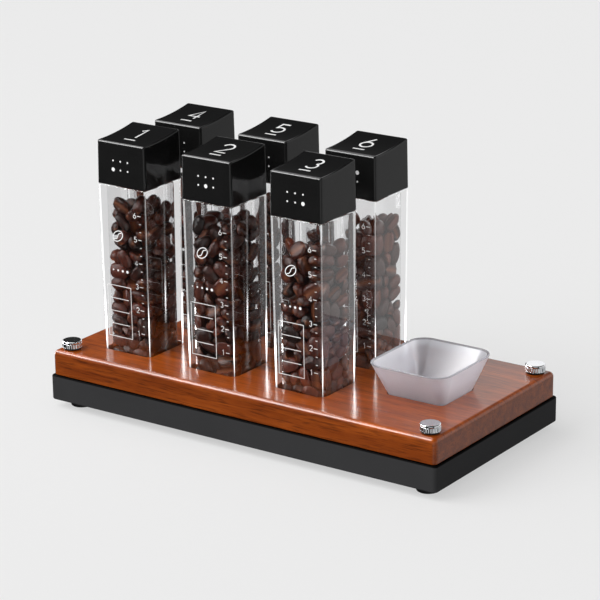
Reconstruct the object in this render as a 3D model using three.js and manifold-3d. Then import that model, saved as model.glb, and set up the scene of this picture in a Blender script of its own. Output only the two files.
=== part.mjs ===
// A stand for coffee beans. Six clear square jars with slip-on lids stand in the square windows of a
// varnished board, and a tapered dosing dish hangs in a seventh window. Four screws under bright covers
// hold the board to a black base plate on four round feet.
// Millimetres, +Z up, front at -Y. The origin is on the table, under the middle of the base plate.

import * as THREE from "three";
import { mergeVertices } from "three/addons/utils/BufferGeometryUtils.js";
import Module from "manifold-3d";

// Clearances
const SEAT_GAP = 0.2; // between faces that rest on each other
const WINDOW_CLEARANCE = 1.5; // foot of the jar to board window, on each side
const LID_CLEARANCE = 0.35; // jar neck to lid skirt, on each side
const SEAL_CLEARANCE = 0.15; // seal ring to lid skirt and to its groove
const SCREW_CLEARANCE = 0.4; // screw shank to its hole, on the radius
const BEAN_CLEARANCE = 0.4; // beans to the walls of the bore

// Base plate
const BASE_LENGTH = 281;
const BASE_DEPTH = 138;
const BASE_THICKNESS = 16;
const BASE_CORNER_RADIUS = 2.6;
const BASE_EDGE_RADIUS = 1;

// Feet, each held by one screw from below
const FOOT_DIAMETER = 17;
const FOOT_HEIGHT = 4.8;
const FOOT_INSET = 13.5; // foot axis to the edges of the base
const FOOT_TAPER = 0.8; // how much the radius narrows towards the table
const FOOT_EDGE_RADIUS = 0.9;
const FOOT_SCREW_HEAD_DIAMETER = 7;
const FOOT_SCREW_HEAD_HEIGHT = 1.8;
const FOOT_SCREW_HEAD_CROWN = 0.9;
const FOOT_SCREW_SHANK_DIAMETER = 3.6;
const FOOT_SCREW_LENGTH = 11; // below its head
const FOOT_SCREW_RECESS = 0.8; // head to the table

// Board
const BOARD_INSET = 1.3; // board edge inside the edge of the base
const BOARD_THICKNESS = 15.8;
const BOARD_CORNER_RADIUS = 3.1;
const BOARD_EDGE_RADIUS = 3;
const LEFT_MARGIN = 42; // left end of the board to the first column of jars
const RIGHT_MARGIN = 44.4; // dish to the right end of the board
const FRONT_MARGIN = 39; // front edge of the board to the front row of jars
const REAR_MARGIN = 40.4; // rear row of jars to the rear edge of the board
const DISH_FORWARD = 1.7; // dish in front of the middle between the rows
const WINDOW_CORNER_RADIUS = 4.5;
const DISH_WINDOW_SIZE = [40.2, 36.8]; // along and across the board
const DISH_WINDOW_RADIUS = 3.4;

// Screws and covers at the corners of the board
const COVER_INSET = 8.8; // screw axis to the edges of the board
const COVER_DIAMETER = 12.2;
const COVER_HEIGHT = 4.3;
const COVER_CHAMFER = 0.7;
const COVER_STUD_DIAMETER = 3;
const COVER_STUD_LENGTH = 3.2;
const WASHER_DIAMETER = 10.6;
const WASHER_THICKNESS = 1;
const SCREW_HEAD_DIAMETER = 8.4;
const SCREW_HEAD_HEIGHT = 2.4;
const SCREW_SHANK_DIAMETER = 4;
const SCREW_LENGTH = 27;
const SCREW_POINT = 3;

// Jars
const JAR_SIDE = 36.4; // at the shoulder
const JAR_LEAN = 0.95; // how far each wall leans out from the foot to the shoulder
const JAR_CORNER_RADIUS = 1.5;
const JAR_BODY_HEIGHT = 121.3; // foot of the jar to its shoulder
const JAR_EDGE_RADIUS = 0.8;
const JAR_FLOOR = 4;
const BORE_CORNER_RADIUS = 3;
const BORE_FLOOR_RADIUS = 2;
const NECK_STEP = 2.2; // neck inside each wall of the body
const NECK_WALL = 2;
const NECK_HEIGHT = 14;
const NECK_CORNER_RADIUS = 2.6;
const NECK_EDGE_RADIUS = 0.5;
const GROOVE_DEPTH = 0.7;
const GROOVE_HEIGHT = 2.6;
const GROOVE_DROP = 4; // top of the groove below the rim of the neck

// Lids: the top rises towards the rear and is hollowed from front to rear
const LID_OVERHANG = 0.1; // lower edge of the lid outside the shoulder of the jar
const LID_LEAN = 0.35; // how far each wall leans in from the lower edge to the rear of the top
const LID_FRONT_HEIGHT = 27;
const LID_REAR_HEIGHT = 30.6;
const LID_HOLLOW = 0.9; // depth of the hollow below the line from front to rear
const LID_EDGE_RADIUS = 1.6;
const LID_ROOF = 2;

// Beans, packed in staggered rows
const BEANS_AROUND = 9;
const BEAN_ROW = 8.4; // height of a row
const BEAN_RIDGE = 5; // length of the crest along a bean
const BEAN_STAND_OUT = 2.6; // crest of a bean above the gaps beside it
const BEAN_SCATTER = 0.8; // how far a bean strays from its place in the row
const BEAN_NOTCH = 1.2; // how far a bean sinks between the two beans below it
const CHARGE_CORNER_RADIUS = 5;
const FILL_HEIGHTS = [116, 112, 109, 114, 112, 113]; // jar foot to the top of the beans, jars 1 to 6

// Dosing dish
const DISH_RIM_SIZE = [55, 61]; // along and across the board
const DISH_RIM_RADIUS = 11.5;
const DISH_RIM_HEIGHT = 21; // rim above the board
const DISH_FOOT_RADIUS = 2;
const DISH_FOOT_CHAMFER = 1;
const DISH_DEPTH = 7; // foot of the dish below the top of the board
const DISH_WALL = 1.8;
const DISH_FLOOR = 1.8;
const DISH_CLEARANCE = 0.3; // dish to the upper edge of its window

// Facets
const PLATE_CORNER_STEPS = 4;
const JAR_CORNER_STEPS = 2;
const DISH_CORNER_STEPS = 5;
const LID_CURVE_STEPS = 4;
const PLATE_EDGE_STEPS = 3;
const JAR_EDGE_STEPS = 1;
const FASTENER_STEPS = 12;
const FOOT_STEPS = 16;
const CUT_MARGIN = 1; // how far a cutting solid reaches past the face that it cuts
const LEAST_RADIUS = 0.2;

// Levels and places that follow from the sizes above
const BASE_LEVEL = FOOT_HEIGHT + SEAT_GAP;
const DECK_LEVEL = BASE_LEVEL + BASE_THICKNESS;
const BOARD_LEVEL = DECK_LEVEL + SEAT_GAP;
const BOARD_TOP = BOARD_LEVEL + BOARD_THICKNESS;
const BOARD_LENGTH = BASE_LENGTH - 2 * BOARD_INSET;
const BOARD_DEPTH = BASE_DEPTH - 2 * BOARD_INSET;
const JAR_FOOT_SIDE = JAR_SIDE - 2 * JAR_LEAN;
const NECK_SIDE = JAR_SIDE - 2 * NECK_STEP;
const BORE_SIDE = NECK_SIDE - 2 * NECK_WALL;
const LID_SIDE = JAR_SIDE + 2 * LID_OVERHANG;
const WINDOW_SIDE = JAR_FOOT_SIDE + 2 * WINDOW_CLEARANCE;
const FIRST_COLUMN = LEFT_MARGIN - BOARD_LENGTH / 2;
const DISH_COLUMN = BOARD_LENGTH / 2 - RIGHT_MARGIN;
const COLUMN_PITCH = (DISH_COLUMN - FIRST_COLUMN) / 3;
const FRONT_ROW = FRONT_MARGIN - BOARD_DEPTH / 2;
const REAR_ROW = BOARD_DEPTH / 2 - REAR_MARGIN;
const DISH_ROW = (FRONT_ROW + REAR_ROW) / 2 - DISH_FORWARD;
const JAR_PLACES = [FRONT_ROW, REAR_ROW].flatMap((y) =>
  [0, 1, 2].map((column) => [FIRST_COLUMN + column * COLUMN_PITCH, y]),
);
const CORNERS = [
  [1, 1],
  [-1, 1],
  [-1, -1],
  [1, -1],
]; // counter-clockwise from above, from the rear right

const wasm = await Module();
wasm.setup();

const lacquer = new THREE.MeshStandardMaterial({ color: 0x262626, roughness: 0.45 });
const varnishedWood = new THREE.MeshStandardMaterial({ color: 0x7a3214, roughness: 0.25 });
const chrome = new THREE.MeshStandardMaterial({ color: 0xd8dadc, roughness: 0.1, metalness: 1 });
const steel = new THREE.MeshStandardMaterial({ color: 0x8d9094, roughness: 0.4, metalness: 1 });
const blackRubber = new THREE.MeshStandardMaterial({ color: 0x1a1a1a, roughness: 0.85 });
const blackPlastic = new THREE.MeshStandardMaterial({ color: 0x17171a, roughness: 0.3 });
const silicone = new THREE.MeshStandardMaterial({ color: 0xdcdcd8, roughness: 0.6 });
const roastedBean = new THREE.MeshStandardMaterial({ color: 0x2a160d, roughness: 0.4 });
const clearPlastic = new THREE.MeshStandardMaterial({
  color: 0xf4f7f8,
  roughness: 0.05,
  transparent: true,
  opacity: 0.3,
});
const frostedPlastic = new THREE.MeshStandardMaterial({
  color: 0xc9c6ca,
  roughness: 0.5,
  transparent: true,
  opacity: 0.7,
});

// Closed geometry as a solid that can be joined and cut.
function solid(geometry) {
  const loose = geometry.index ? geometry.toNonIndexed() : geometry;
  const bare = new THREE.BufferGeometry();
  bare.setAttribute("position", loose.getAttribute("position"));
  const merged = mergeVertices(bare, 1e-4);
  return new wasm.Manifold(
    new wasm.Mesh({
      numProp: 3,
      vertProperties: merged.getAttribute("position").array,
      triVerts: new Uint32Array(merged.index.array),
    }),
  );
}

// A cut solid as geometry again.
function surface(cut) {
  const mesh = cut.getMesh();
  const geometry = new THREE.BufferGeometry();
  geometry.setAttribute("position", new THREE.BufferAttribute(mesh.vertProperties, 3));
  geometry.setIndex(new THREE.BufferAttribute(mesh.triVerts, 1));
  geometry.computeVertexNormals();
  return geometry;
}

// One level outline of a loft: a rectangle with round corners, counter-clockwise from above.
function outline(width, depth, radius, z, steps) {
  const corner = Math.max(radius, LEAST_RADIUS);
  const points = [];
  CORNERS.forEach(([sx, sy], quarter) => {
    for (let step = 0; step <= steps; step += 1) {
      const angle = ((quarter + step / steps) * Math.PI) / 2;
      const x = sx * (width / 2 - corner) + corner * Math.cos(angle);
      const y = sy * (depth / 2 - corner) + corner * Math.sin(angle);
      points.push([x, y, z]);
    }
  });
  return points;
}

// Skins a stack of outlines, from the lowest to the highest. A ring joins its last outline to its first,
// any other loft is closed by a flat face at each end.
function loft(outlines, ring = false) {
  const count = outlines[0].length;
  const index = [];
  const last = (outlines.length - 1) * count;
  outlines.forEach((unused, level) => {
    if (!ring && level === outlines.length - 1) return;
    const low = level * count;
    const high = ((level + 1) % outlines.length) * count;
    for (let i = 0; i < count; i += 1) {
      const j = (i + 1) % count;
      index.push(low + i, low + j, high + j, low + i, high + j, high + i);
    }
  });
  for (let i = 1; !ring && i < count - 1; i += 1) {
    index.push(0, i + 1, i, last, last + i, last + i + 1);
  }
  const geometry = new THREE.BufferGeometry();
  geometry.setAttribute("position", new THREE.Float32BufferAttribute(outlines.flat(2), 3));
  geometry.setIndex(index);
  return geometry;
}

// An upright block with round corners whose lower and upper edges are rounded by their own radii. Its walls
// lean out by the given length from the bottom to the top.
function block(size, cornerRadius, lowerEdge, upperEdge, from, to, steps, edgeSteps, lean) {
  const level = (inset, z) => {
    const growth = 2 * (lean * ((z - from) / (to - from)) - inset);
    return outline(size[0] + growth, size[1] + growth, cornerRadius - inset, z, steps);
  };
  const turns = Array.from({ length: edgeSteps + 1 }, (unused, step) => (step / edgeSteps) * (Math.PI / 2));
  const lower = turns.map((turn) =>
    level(lowerEdge * (1 - Math.sin(turn)), from + lowerEdge * (1 - Math.cos(turn))),
  );
  const upper = turns.map((turn) =>
    level(upperEdge * (1 - Math.cos(turn)), to - upperEdge * (1 - Math.sin(turn))),
  );
  const foot = lowerEdge > 0 ? lower : lower.slice(-1);
  const head = upperEdge > 0 ? upper : upper.slice(0, 1);
  return loft([...foot, ...head]);
}

// The base and the board.
function plate(length, depth, cornerRadius, lowerEdge, upperEdge, from, to) {
  const size = [length, depth];
  return block(size, cornerRadius, lowerEdge, upperEdge, from, to, PLATE_CORNER_STEPS, PLATE_EDGE_STEPS, 0);
}

// Jars, lids and the solids that cut them, all square in plan, with the side given at the bottom.
function squareBlock(side, cornerRadius, from, to, lowerEdge = 0, upperEdge = 0, lean = 0) {
  const size = [side, side];
  return block(size, cornerRadius, lowerEdge, upperEdge, from, to, JAR_CORNER_STEPS, JAR_EDGE_STEPS, lean);
}

// A turned piece from pairs of radius and height, upwards along its outside.
function turned(profile, steps) {
  const points = profile.map(([radius, height]) => new THREE.Vector2(radius, height));
  return new THREE.LatheGeometry(points, steps).rotateX(Math.PI / 2);
}

// A straight round cutting solid.
function drill(diameter, from, to) {
  const radius = diameter / 2;
  return turned(
    [
      [0, from],
      [radius, from],
      [radius, to],
      [0, to],
    ],
    FASTENER_STEPS,
  );
}

function piece(name, geometry, material, place = [0, 0, 0]) {
  const mesh = new THREE.Mesh(geometry, material);
  mesh.name = name;
  mesh.position.set(...place);
  return mesh;
}

// Axes of the corner screws and of the feet.
const screwAxes = CORNERS.map(([sx, sy]) => [
  sx * (BOARD_LENGTH / 2 - COVER_INSET),
  sy * (BOARD_DEPTH / 2 - COVER_INSET),
]);
const footAxes = CORNERS.map(([sx, sy]) => [
  sx * (BASE_LENGTH / 2 - FOOT_INSET),
  sy * (BASE_DEPTH / 2 - FOOT_INSET),
]);

// The base is a plain plate with blind holes for the board screws above and the foot screws below.
function basePlate() {
  const edge = BASE_EDGE_RADIUS;
  const blank = plate(BASE_LENGTH, BASE_DEPTH, BASE_CORNER_RADIUS, edge, edge, BASE_LEVEL, DECK_LEVEL);
  const screwTip = BOARD_TOP - SEAT_GAP - SCREW_LENGTH;
  const footScrewTip = FOOT_SCREW_RECESS + FOOT_SCREW_HEAD_HEIGHT + FOOT_SCREW_LENGTH;
  let base = solid(blank);
  screwAxes.forEach(([x, y]) => {
    const diameter = SCREW_SHANK_DIAMETER + 2 * SCREW_CLEARANCE;
    const hole = drill(diameter, screwTip - CUT_MARGIN, DECK_LEVEL + CUT_MARGIN);
    base = base.subtract(solid(hole.translate(x, y, 0)));
  });
  footAxes.forEach(([x, y]) => {
    const diameter = FOOT_SCREW_SHANK_DIAMETER + 2 * SCREW_CLEARANCE;
    const hole = drill(diameter, BASE_LEVEL - CUT_MARGIN, footScrewTip + CUT_MARGIN);
    base = base.subtract(solid(hole.translate(x, y, 0)));
  });
  return surface(base);
}

// A rubber foot: a short taper with a rounded lower edge, bored for its screw and its screw's head.
function foot() {
  const top = FOOT_DIAMETER / 2;
  const bottom = top - FOOT_TAPER;
  const bore = FOOT_SCREW_SHANK_DIAMETER / 2 + SCREW_CLEARANCE;
  const pocket = FOOT_SCREW_HEAD_DIAMETER / 2 + SCREW_CLEARANCE;
  const ledge = FOOT_SCREW_RECESS + FOOT_SCREW_HEAD_HEIGHT + SEAT_GAP;
  const edge = FOOT_EDGE_RADIUS;
  const rim = (1 - Math.SQRT1_2) * edge;
  return turned(
    [
      [pocket, 0],
      [bottom - edge, 0],
      [bottom - rim, rim],
      [bottom, edge],
      [top, FOOT_HEIGHT],
      [bore, FOOT_HEIGHT],
      [bore, ledge],
      [pocket, ledge],
      [pocket, 0],
    ],
    FOOT_STEPS,
  );
}

function footScrew() {
  const shank = FOOT_SCREW_SHANK_DIAMETER / 2;
  const head = FOOT_SCREW_HEAD_DIAMETER / 2;
  const underHead = FOOT_SCREW_RECESS + FOOT_SCREW_HEAD_HEIGHT;
  const tip = underHead + FOOT_SCREW_LENGTH;
  return turned(
    [
      [0, FOOT_SCREW_RECESS],
      [head - FOOT_SCREW_HEAD_CROWN, FOOT_SCREW_RECESS],
      [head, FOOT_SCREW_RECESS + FOOT_SCREW_HEAD_CROWN],
      [head, underHead],
      [shank, underHead],
      [shank, tip - SCREW_POINT],
      [0, tip],
    ],
    FASTENER_STEPS,
  );
}

// The board: a plank with a rounded upper edge, a square window for each jar, an oblong one for the dish and
// four countersunk holes.
function woodBoard() {
  const edge = BOARD_EDGE_RADIUS;
  const blank = plate(BOARD_LENGTH, BOARD_DEPTH, BOARD_CORNER_RADIUS, 0, edge, BOARD_LEVEL, BOARD_TOP);
  let board = solid(blank);
  const below = BOARD_LEVEL - CUT_MARGIN;
  const above = BOARD_TOP + CUT_MARGIN;
  JAR_PLACES.forEach(([x, y]) => {
    const window = squareBlock(WINDOW_SIDE, WINDOW_CORNER_RADIUS, below, above);
    board = board.subtract(solid(window.translate(x, y, 0)));
  });
  const dishWindow = [below, above].map((z) => {
    return outline(...DISH_WINDOW_SIZE, DISH_WINDOW_RADIUS, z, JAR_CORNER_STEPS);
  });
  board = board.subtract(solid(loft(dishWindow).translate(DISH_COLUMN, DISH_ROW, 0)));
  const shank = SCREW_SHANK_DIAMETER / 2 + SCREW_CLEARANCE;
  const sink = SCREW_HEAD_DIAMETER / 2 + SCREW_CLEARANCE;
  screwAxes.forEach(([x, y]) => {
    const hole = turned(
      [
        [0, below],
        [shank, below],
        [shank, BOARD_TOP - SEAT_GAP - SCREW_HEAD_HEIGHT],
        [sink, BOARD_TOP - SEAT_GAP],
        [sink, above],
        [0, above],
      ],
      FASTENER_STEPS,
    );
    board = board.subtract(solid(hole.translate(x, y, 0)));
  });
  return surface(board);
}

// The board screw, with a blind bore in its head that takes the stud of the cover.
function boardScrew() {
  const shank = SCREW_SHANK_DIAMETER / 2;
  const head = SCREW_HEAD_DIAMETER / 2;
  const top = BOARD_TOP - SEAT_GAP;
  const bore = COVER_STUD_DIAMETER / 2 + SCREW_CLEARANCE;
  const studTip = BOARD_TOP + 2 * SEAT_GAP + WASHER_THICKNESS - COVER_STUD_LENGTH;
  return turned(
    [
      [0, top - SCREW_LENGTH],
      [shank, top - SCREW_LENGTH + SCREW_POINT],
      [shank, top - SCREW_HEAD_HEIGHT],
      [head, top],
      [bore, top],
      [bore, studTip - SEAT_GAP],
      [0, studTip - SEAT_GAP],
    ],
    FASTENER_STEPS,
  );
}

function coverWasher() {
  const low = BOARD_TOP + SEAT_GAP;
  const high = low + WASHER_THICKNESS;
  const bore = COVER_STUD_DIAMETER / 2 + SCREW_CLEARANCE;
  return turned(
    [
      [bore, low],
      [WASHER_DIAMETER / 2, low],
      [WASHER_DIAMETER / 2, high],
      [bore, high],
      [bore, low],
    ],
    FASTENER_STEPS,
  );
}

// The bright cover: a chamfered disc with a stud that screws into the head of the board screw.
function screwCover() {
  const low = BOARD_TOP + 2 * SEAT_GAP + WASHER_THICKNESS;
  const high = low + COVER_HEIGHT;
  const stud = COVER_STUD_DIAMETER / 2;
  const rim = COVER_DIAMETER / 2;
  return turned(
    [
      [0, low - COVER_STUD_LENGTH],
      [stud, low - COVER_STUD_LENGTH],
      [stud, low],
      [rim, low],
      [rim, high - COVER_CHAMFER],
      [rim - COVER_CHAMFER, high],
      [0, high],
    ],
    FOOT_STEPS,
  );
}

// The jar: a body with leaning walls and a straight bore, and a stepped neck with a groove for its seal.
function jar() {
  const shoulder = JAR_BODY_HEIGHT;
  const rim = shoulder + NECK_HEIGHT;
  const grooveTop = rim - GROOVE_DROP;
  const grooveFoot = grooveTop - GROOVE_HEIGHT;
  const grooveSide = NECK_SIDE - 2 * GROOVE_DEPTH;
  const edge = JAR_EDGE_RADIUS;
  const body = squareBlock(JAR_FOOT_SIDE, JAR_CORNER_RADIUS, 0, shoulder, edge, edge, JAR_LEAN);
  const neck = squareBlock(NECK_SIDE, NECK_CORNER_RADIUS, JAR_FLOOR, rim, 0, NECK_EDGE_RADIUS);
  const bore = squareBlock(BORE_SIDE, BORE_CORNER_RADIUS, JAR_FLOOR, rim + CUT_MARGIN, BORE_FLOOR_RADIUS);
  const around = squareBlock(JAR_SIDE, JAR_CORNER_RADIUS, grooveFoot, grooveTop);
  const within = squareBlock(
    grooveSide,
    NECK_CORNER_RADIUS - GROOVE_DEPTH,
    grooveFoot - CUT_MARGIN,
    grooveTop + CUT_MARGIN,
  );
  const groove = solid(around).subtract(solid(within));
  return surface(solid(body).add(solid(neck)).subtract(solid(bore)).subtract(groove));
}

// The seal: a square silicone ring with a rounded outer lip, lying in the groove of the neck.
function neckSeal() {
  const grooveTop = JAR_BODY_HEIGHT + NECK_HEIGHT - GROOVE_DROP;
  const low = grooveTop - GROOVE_HEIGHT + SEAT_GAP;
  const high = grooveTop - SEAT_GAP;
  const inner = NECK_SIDE - 2 * GROOVE_DEPTH + 2 * SEAL_CLEARANCE;
  const outer = NECK_SIDE + 2 * (LID_CLEARANCE - SEAL_CLEARANCE);
  const lip = (outer + NECK_SIDE) / 2 - LID_CLEARANCE;
  const level = (side, z) => {
    const radius = NECK_CORNER_RADIUS - (NECK_SIDE - side) / 2;
    return outline(side, side, radius, z, JAR_CORNER_STEPS);
  };
  const section = [
    level(inner, low),
    level(lip, low),
    level(outer, (low + high) / 2),
    level(lip, high),
    level(inner, high),
  ];
  return loft(section, true);
}

// The lid: a square shell over the neck. Its upper face is drawn as a side view, with a round front edge,
// a shallow hollow and a round rear edge, and is carried across the lid from left to right.
function lid() {
  const edge = LID_EDGE_RADIUS;
  const front = LID_FRONT_HEIGHT;
  const rear = LID_REAR_HEIGHT;
  const half = LID_SIDE / 2;
  const frontHalf = half - (LID_LEAN * (front - edge)) / rear;
  const rearHalf = half - (LID_LEAN * (rear - edge)) / rear;
  const sideView = new THREE.Shape();
  sideView.moveTo(-half - CUT_MARGIN, -CUT_MARGIN);
  sideView.lineTo(half + CUT_MARGIN, -CUT_MARGIN);
  sideView.lineTo(rearHalf, rear - edge);
  sideView.absarc(rearHalf - edge, rear - edge, edge, 0, Math.PI / 2, false);
  sideView.quadraticCurveTo(0, (front + rear) / 2 - 2 * LID_HOLLOW, edge - frontHalf, front);
  sideView.absarc(edge - frontHalf, front - edge, edge, Math.PI / 2, Math.PI, false);
  const top = new THREE.ExtrudeGeometry(sideView, {
    depth: LID_SIDE + 2 * CUT_MARGIN,
    bevelEnabled: false,
    curveSegments: LID_CURVE_STEPS,
  });
  top.translate(0, 0, -half - CUT_MARGIN);
  top.rotateX(Math.PI / 2);
  top.rotateZ(Math.PI / 2);
  const ceiling = front - LID_HOLLOW - LID_ROOF;
  const skirtSide = NECK_SIDE + 2 * LID_CLEARANCE;
  const skirtRadius = NECK_CORNER_RADIUS + LID_CLEARANCE;
  const sleeve = squareBlock(LID_SIDE, JAR_CORNER_RADIUS, 0, rear, 0, 0, -LID_LEAN);
  const inside = squareBlock(skirtSide, skirtRadius, -CUT_MARGIN, ceiling);
  return surface(solid(sleeve).intersect(solid(top)).subtract(solid(inside)));
}

// Repeatable scatter between 0 and 1.
function scatter(seed) {
  let state = seed;
  return () => {
    state = (state * 1664525 + 1013904223) % 4294967296;
    return state / 4294967296;
  };
}

// The beans as one body. Its skin runs up the walls and in over the top, in rows of six-sided cells laid
// like bricks. Corners of the cells lie in the gaps, and two crest points stand out in each cell.
function beanCharge(fillHeight, seed) {
  const random = scatter(seed);
  const stray = () => (2 * random() - 1) * BEAN_SCATTER;
  const half = BORE_SIDE / 2 - BEAN_CLEARANCE;
  const low = JAR_FLOOR + BEAN_CLEARANCE;
  const corner = half - CHARGE_CORNER_RADIUS;
  const plan = new THREE.Path();
  CORNERS.forEach(([sx, sy], quarter) => {
    const start = (quarter * Math.PI) / 2;
    plan.absarc(sx * corner, sy * corner, CHARGE_CORNER_RADIUS, start, start + Math.PI / 2, false);
  });
  plan.closePath();
  const wall = fillHeight - low - BEAN_STAND_OUT;
  const rows = Math.round((wall + half - BEAN_STAND_OUT) / BEAN_ROW);
  const rowHeight = (wall + half - BEAN_STAND_OUT) / rows;
  const girth = plan.getLength();
  const point = (along, climb, standOut) => {
    const inwards = Math.max(climb - wall, 0);
    const share = (half - Math.max(BEAN_STAND_OUT - standOut, inwards)) / half;
    const flat = plan.getPoint(THREE.MathUtils.euclideanModulo(along / girth, 1)).multiplyScalar(share);
    return [flat.x, flat.y, low + Math.min(climb, wall) + (inwards > 0 ? standOut : 0)];
  };
  const columns = 2 * BEANS_AROUND;
  const step = girth / columns;
  const points = [];
  for (let row = 0; row <= rows; row += 1) {
    const inner = row > 0 && row < rows;
    for (let column = 0; column < columns; column += 1) {
      const notch = (column + row) % 2 ? BEAN_NOTCH : -BEAN_NOTCH;
      const climb = row * rowHeight + (inner ? notch + stray() / 2 : 0);
      points.push(point(column * step + stray(), climb, 0));
    }
  }
  const index = [];
  for (let row = 0; row < rows; row += 1) {
    for (let bean = 0; bean < BEANS_AROUND; bean += 1) {
      const middle = 2 * bean + (row % 2);
      const corners = [-1, 0, 1].map((side) => (middle + side + columns) % columns);
      const [lowLeft, lowMiddle, lowRight] = corners.map((column) => row * columns + column);
      const [highLeft, highMiddle, highRight] = corners.map((column) => (row + 1) * columns + column);
      const left = points.length;
      const right = left + 1;
      const slant = 2 * stray();
      [-1, 1].forEach((end) => {
        const along = middle * step + (end * BEAN_RIDGE) / 2;
        const climb = (row + 0.5) * rowHeight + end * slant;
        points.push(point(along, climb, BEAN_STAND_OUT - Math.abs(stray())));
      });
      index.push(highLeft, lowLeft, left, lowLeft, lowMiddle, left, lowMiddle, right, left);
      index.push(lowMiddle, lowRight, right, lowRight, highRight, right, highRight, highMiddle, right);
      index.push(highMiddle, left, right, highMiddle, highLeft, left);
    }
  }
  const last = rows * columns;
  for (let column = 1; column < columns - 1; column += 1) {
    index.push(0, column + 1, column, last, last + column, last + column + 1);
  }
  const geometry = new THREE.BufferGeometry();
  geometry.setAttribute("position", new THREE.Float32BufferAttribute(points.flat(), 3));
  geometry.setIndex(index);
  return geometry;
}

// The dish: a taper whose corners open from a small radius at its foot to a wide one at its rim, and which
// leans out further to the front and rear than to its sides. Its wall meets the upper edge of its window,
// which carries it.
function dosingDish() {
  const height = DISH_DEPTH + DISH_RIM_HEIGHT;
  const opening = (DISH_RIM_RADIUS - DISH_FOOT_RADIUS) / height;
  const level = (z, inset) => {
    const [width, depth] = DISH_RIM_SIZE.map((rim, way) => {
      const atBoard = DISH_WINDOW_SIZE[way] - 2 * DISH_CLEARANCE;
      const slope = (rim - atBoard) / DISH_RIM_HEIGHT;
      const slantedInset = inset * Math.sqrt(1 + (slope / 2) ** 2);
      return atBoard + slope * (z - DISH_DEPTH) - 2 * slantedInset;
    });
    return outline(width, depth, DISH_FOOT_RADIUS + opening * z - inset, z, DISH_CORNER_STEPS);
  };
  const outer = loft([level(0, DISH_FOOT_CHAMFER), level(DISH_FOOT_CHAMFER, 0), level(height, 0)]);
  const inner = loft([level(DISH_FLOOR, DISH_WALL), level(height + CUT_MARGIN, DISH_WALL)]);
  return surface(solid(outer).subtract(solid(inner)));
}

const stand = new THREE.Group();
stand.add(piece("base_plate", basePlate(), lacquer));
stand.add(piece("wood_board", woodBoard(), varnishedWood));
CORNERS.forEach((unused, corner) => {
  const number = corner + 1;
  const screwPlace = [...screwAxes[corner], 0];
  const footPlace = [...footAxes[corner], 0];
  stand.add(piece("foot_" + number, foot(), blackRubber, footPlace));
  stand.add(piece("foot_screw_" + number, footScrew(), steel, footPlace));
  stand.add(piece("board_screw_" + number, boardScrew(), steel, screwPlace));
  stand.add(piece("cover_washer_" + number, coverWasher(), blackRubber, screwPlace));
  stand.add(piece("screw_cover_" + number, screwCover(), chrome, screwPlace));
});
JAR_PLACES.forEach(([x, y], place) => {
  const number = place + 1;
  const canister = new THREE.Group();
  canister.position.set(x, y, DECK_LEVEL + SEAT_GAP);
  canister.add(piece("jar_" + number, jar(), clearPlastic));
  canister.add(piece("neck_seal_" + number, neckSeal(), silicone));
  canister.add(piece("bean_charge_" + number, beanCharge(FILL_HEIGHTS[place], number), roastedBean));
  canister.add(piece("lid_" + number, lid(), blackPlastic, [0, 0, JAR_BODY_HEIGHT + SEAT_GAP]));
  stand.add(canister);
});
const dishPlace = [DISH_COLUMN, DISH_ROW, BOARD_TOP - DISH_DEPTH];
stand.add(piece("dosing_dish", dosingDish(), frostedPlastic, dishPlace));

export default stand;
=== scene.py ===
"""Looks of a coffee bean canister stand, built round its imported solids.

Lengths here are millimetres, and become metres where a mesh or a light is made. Front is -Y.
"""

import math

import bpy
import numpy as np
from mathutils import Matrix, Vector


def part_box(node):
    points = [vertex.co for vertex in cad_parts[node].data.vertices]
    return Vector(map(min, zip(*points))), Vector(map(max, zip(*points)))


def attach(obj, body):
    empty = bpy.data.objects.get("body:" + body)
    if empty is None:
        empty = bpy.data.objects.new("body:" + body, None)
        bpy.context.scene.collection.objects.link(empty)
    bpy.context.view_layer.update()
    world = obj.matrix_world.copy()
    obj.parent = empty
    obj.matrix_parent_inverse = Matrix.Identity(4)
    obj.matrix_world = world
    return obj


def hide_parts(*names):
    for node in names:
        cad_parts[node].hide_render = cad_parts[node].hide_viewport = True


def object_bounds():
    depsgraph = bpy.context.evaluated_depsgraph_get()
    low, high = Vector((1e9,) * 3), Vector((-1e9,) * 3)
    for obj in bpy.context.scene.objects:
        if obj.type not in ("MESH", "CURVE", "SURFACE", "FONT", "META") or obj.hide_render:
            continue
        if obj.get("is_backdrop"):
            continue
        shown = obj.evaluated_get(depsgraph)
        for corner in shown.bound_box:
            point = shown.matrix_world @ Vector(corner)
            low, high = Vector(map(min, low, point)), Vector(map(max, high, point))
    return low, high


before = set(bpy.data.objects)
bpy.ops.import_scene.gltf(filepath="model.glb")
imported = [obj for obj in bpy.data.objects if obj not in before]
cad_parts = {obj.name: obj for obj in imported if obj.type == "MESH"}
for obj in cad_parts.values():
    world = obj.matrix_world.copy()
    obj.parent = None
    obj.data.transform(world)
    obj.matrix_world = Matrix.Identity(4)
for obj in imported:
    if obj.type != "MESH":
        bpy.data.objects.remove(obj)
cad_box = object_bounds()

# Studio: a pale light table in a bright tent, with a broad soft key from the front left and a low fill from
# the front. Dark flags stand round the tent, so that glossy faces mirror a bright wall only behind, to the
# right, and a grey card in front, to the right.
MM = 0.001
WHITE = (1, 1, 1, 1)


def linear(colour):
    """An sRGB hex colour as linear red, green, blue and alpha: each channel with the sRGB curve undone."""
    channels = np.array([int(colour[k:k + 2], 16) for k in (1, 3, 5)]) / 255
    straight = np.where(channels <= 0.04045, channels / 12.92, ((channels + 0.055) / 1.055) ** 2.4)
    return (*straight.tolist(), 1.0)


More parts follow.
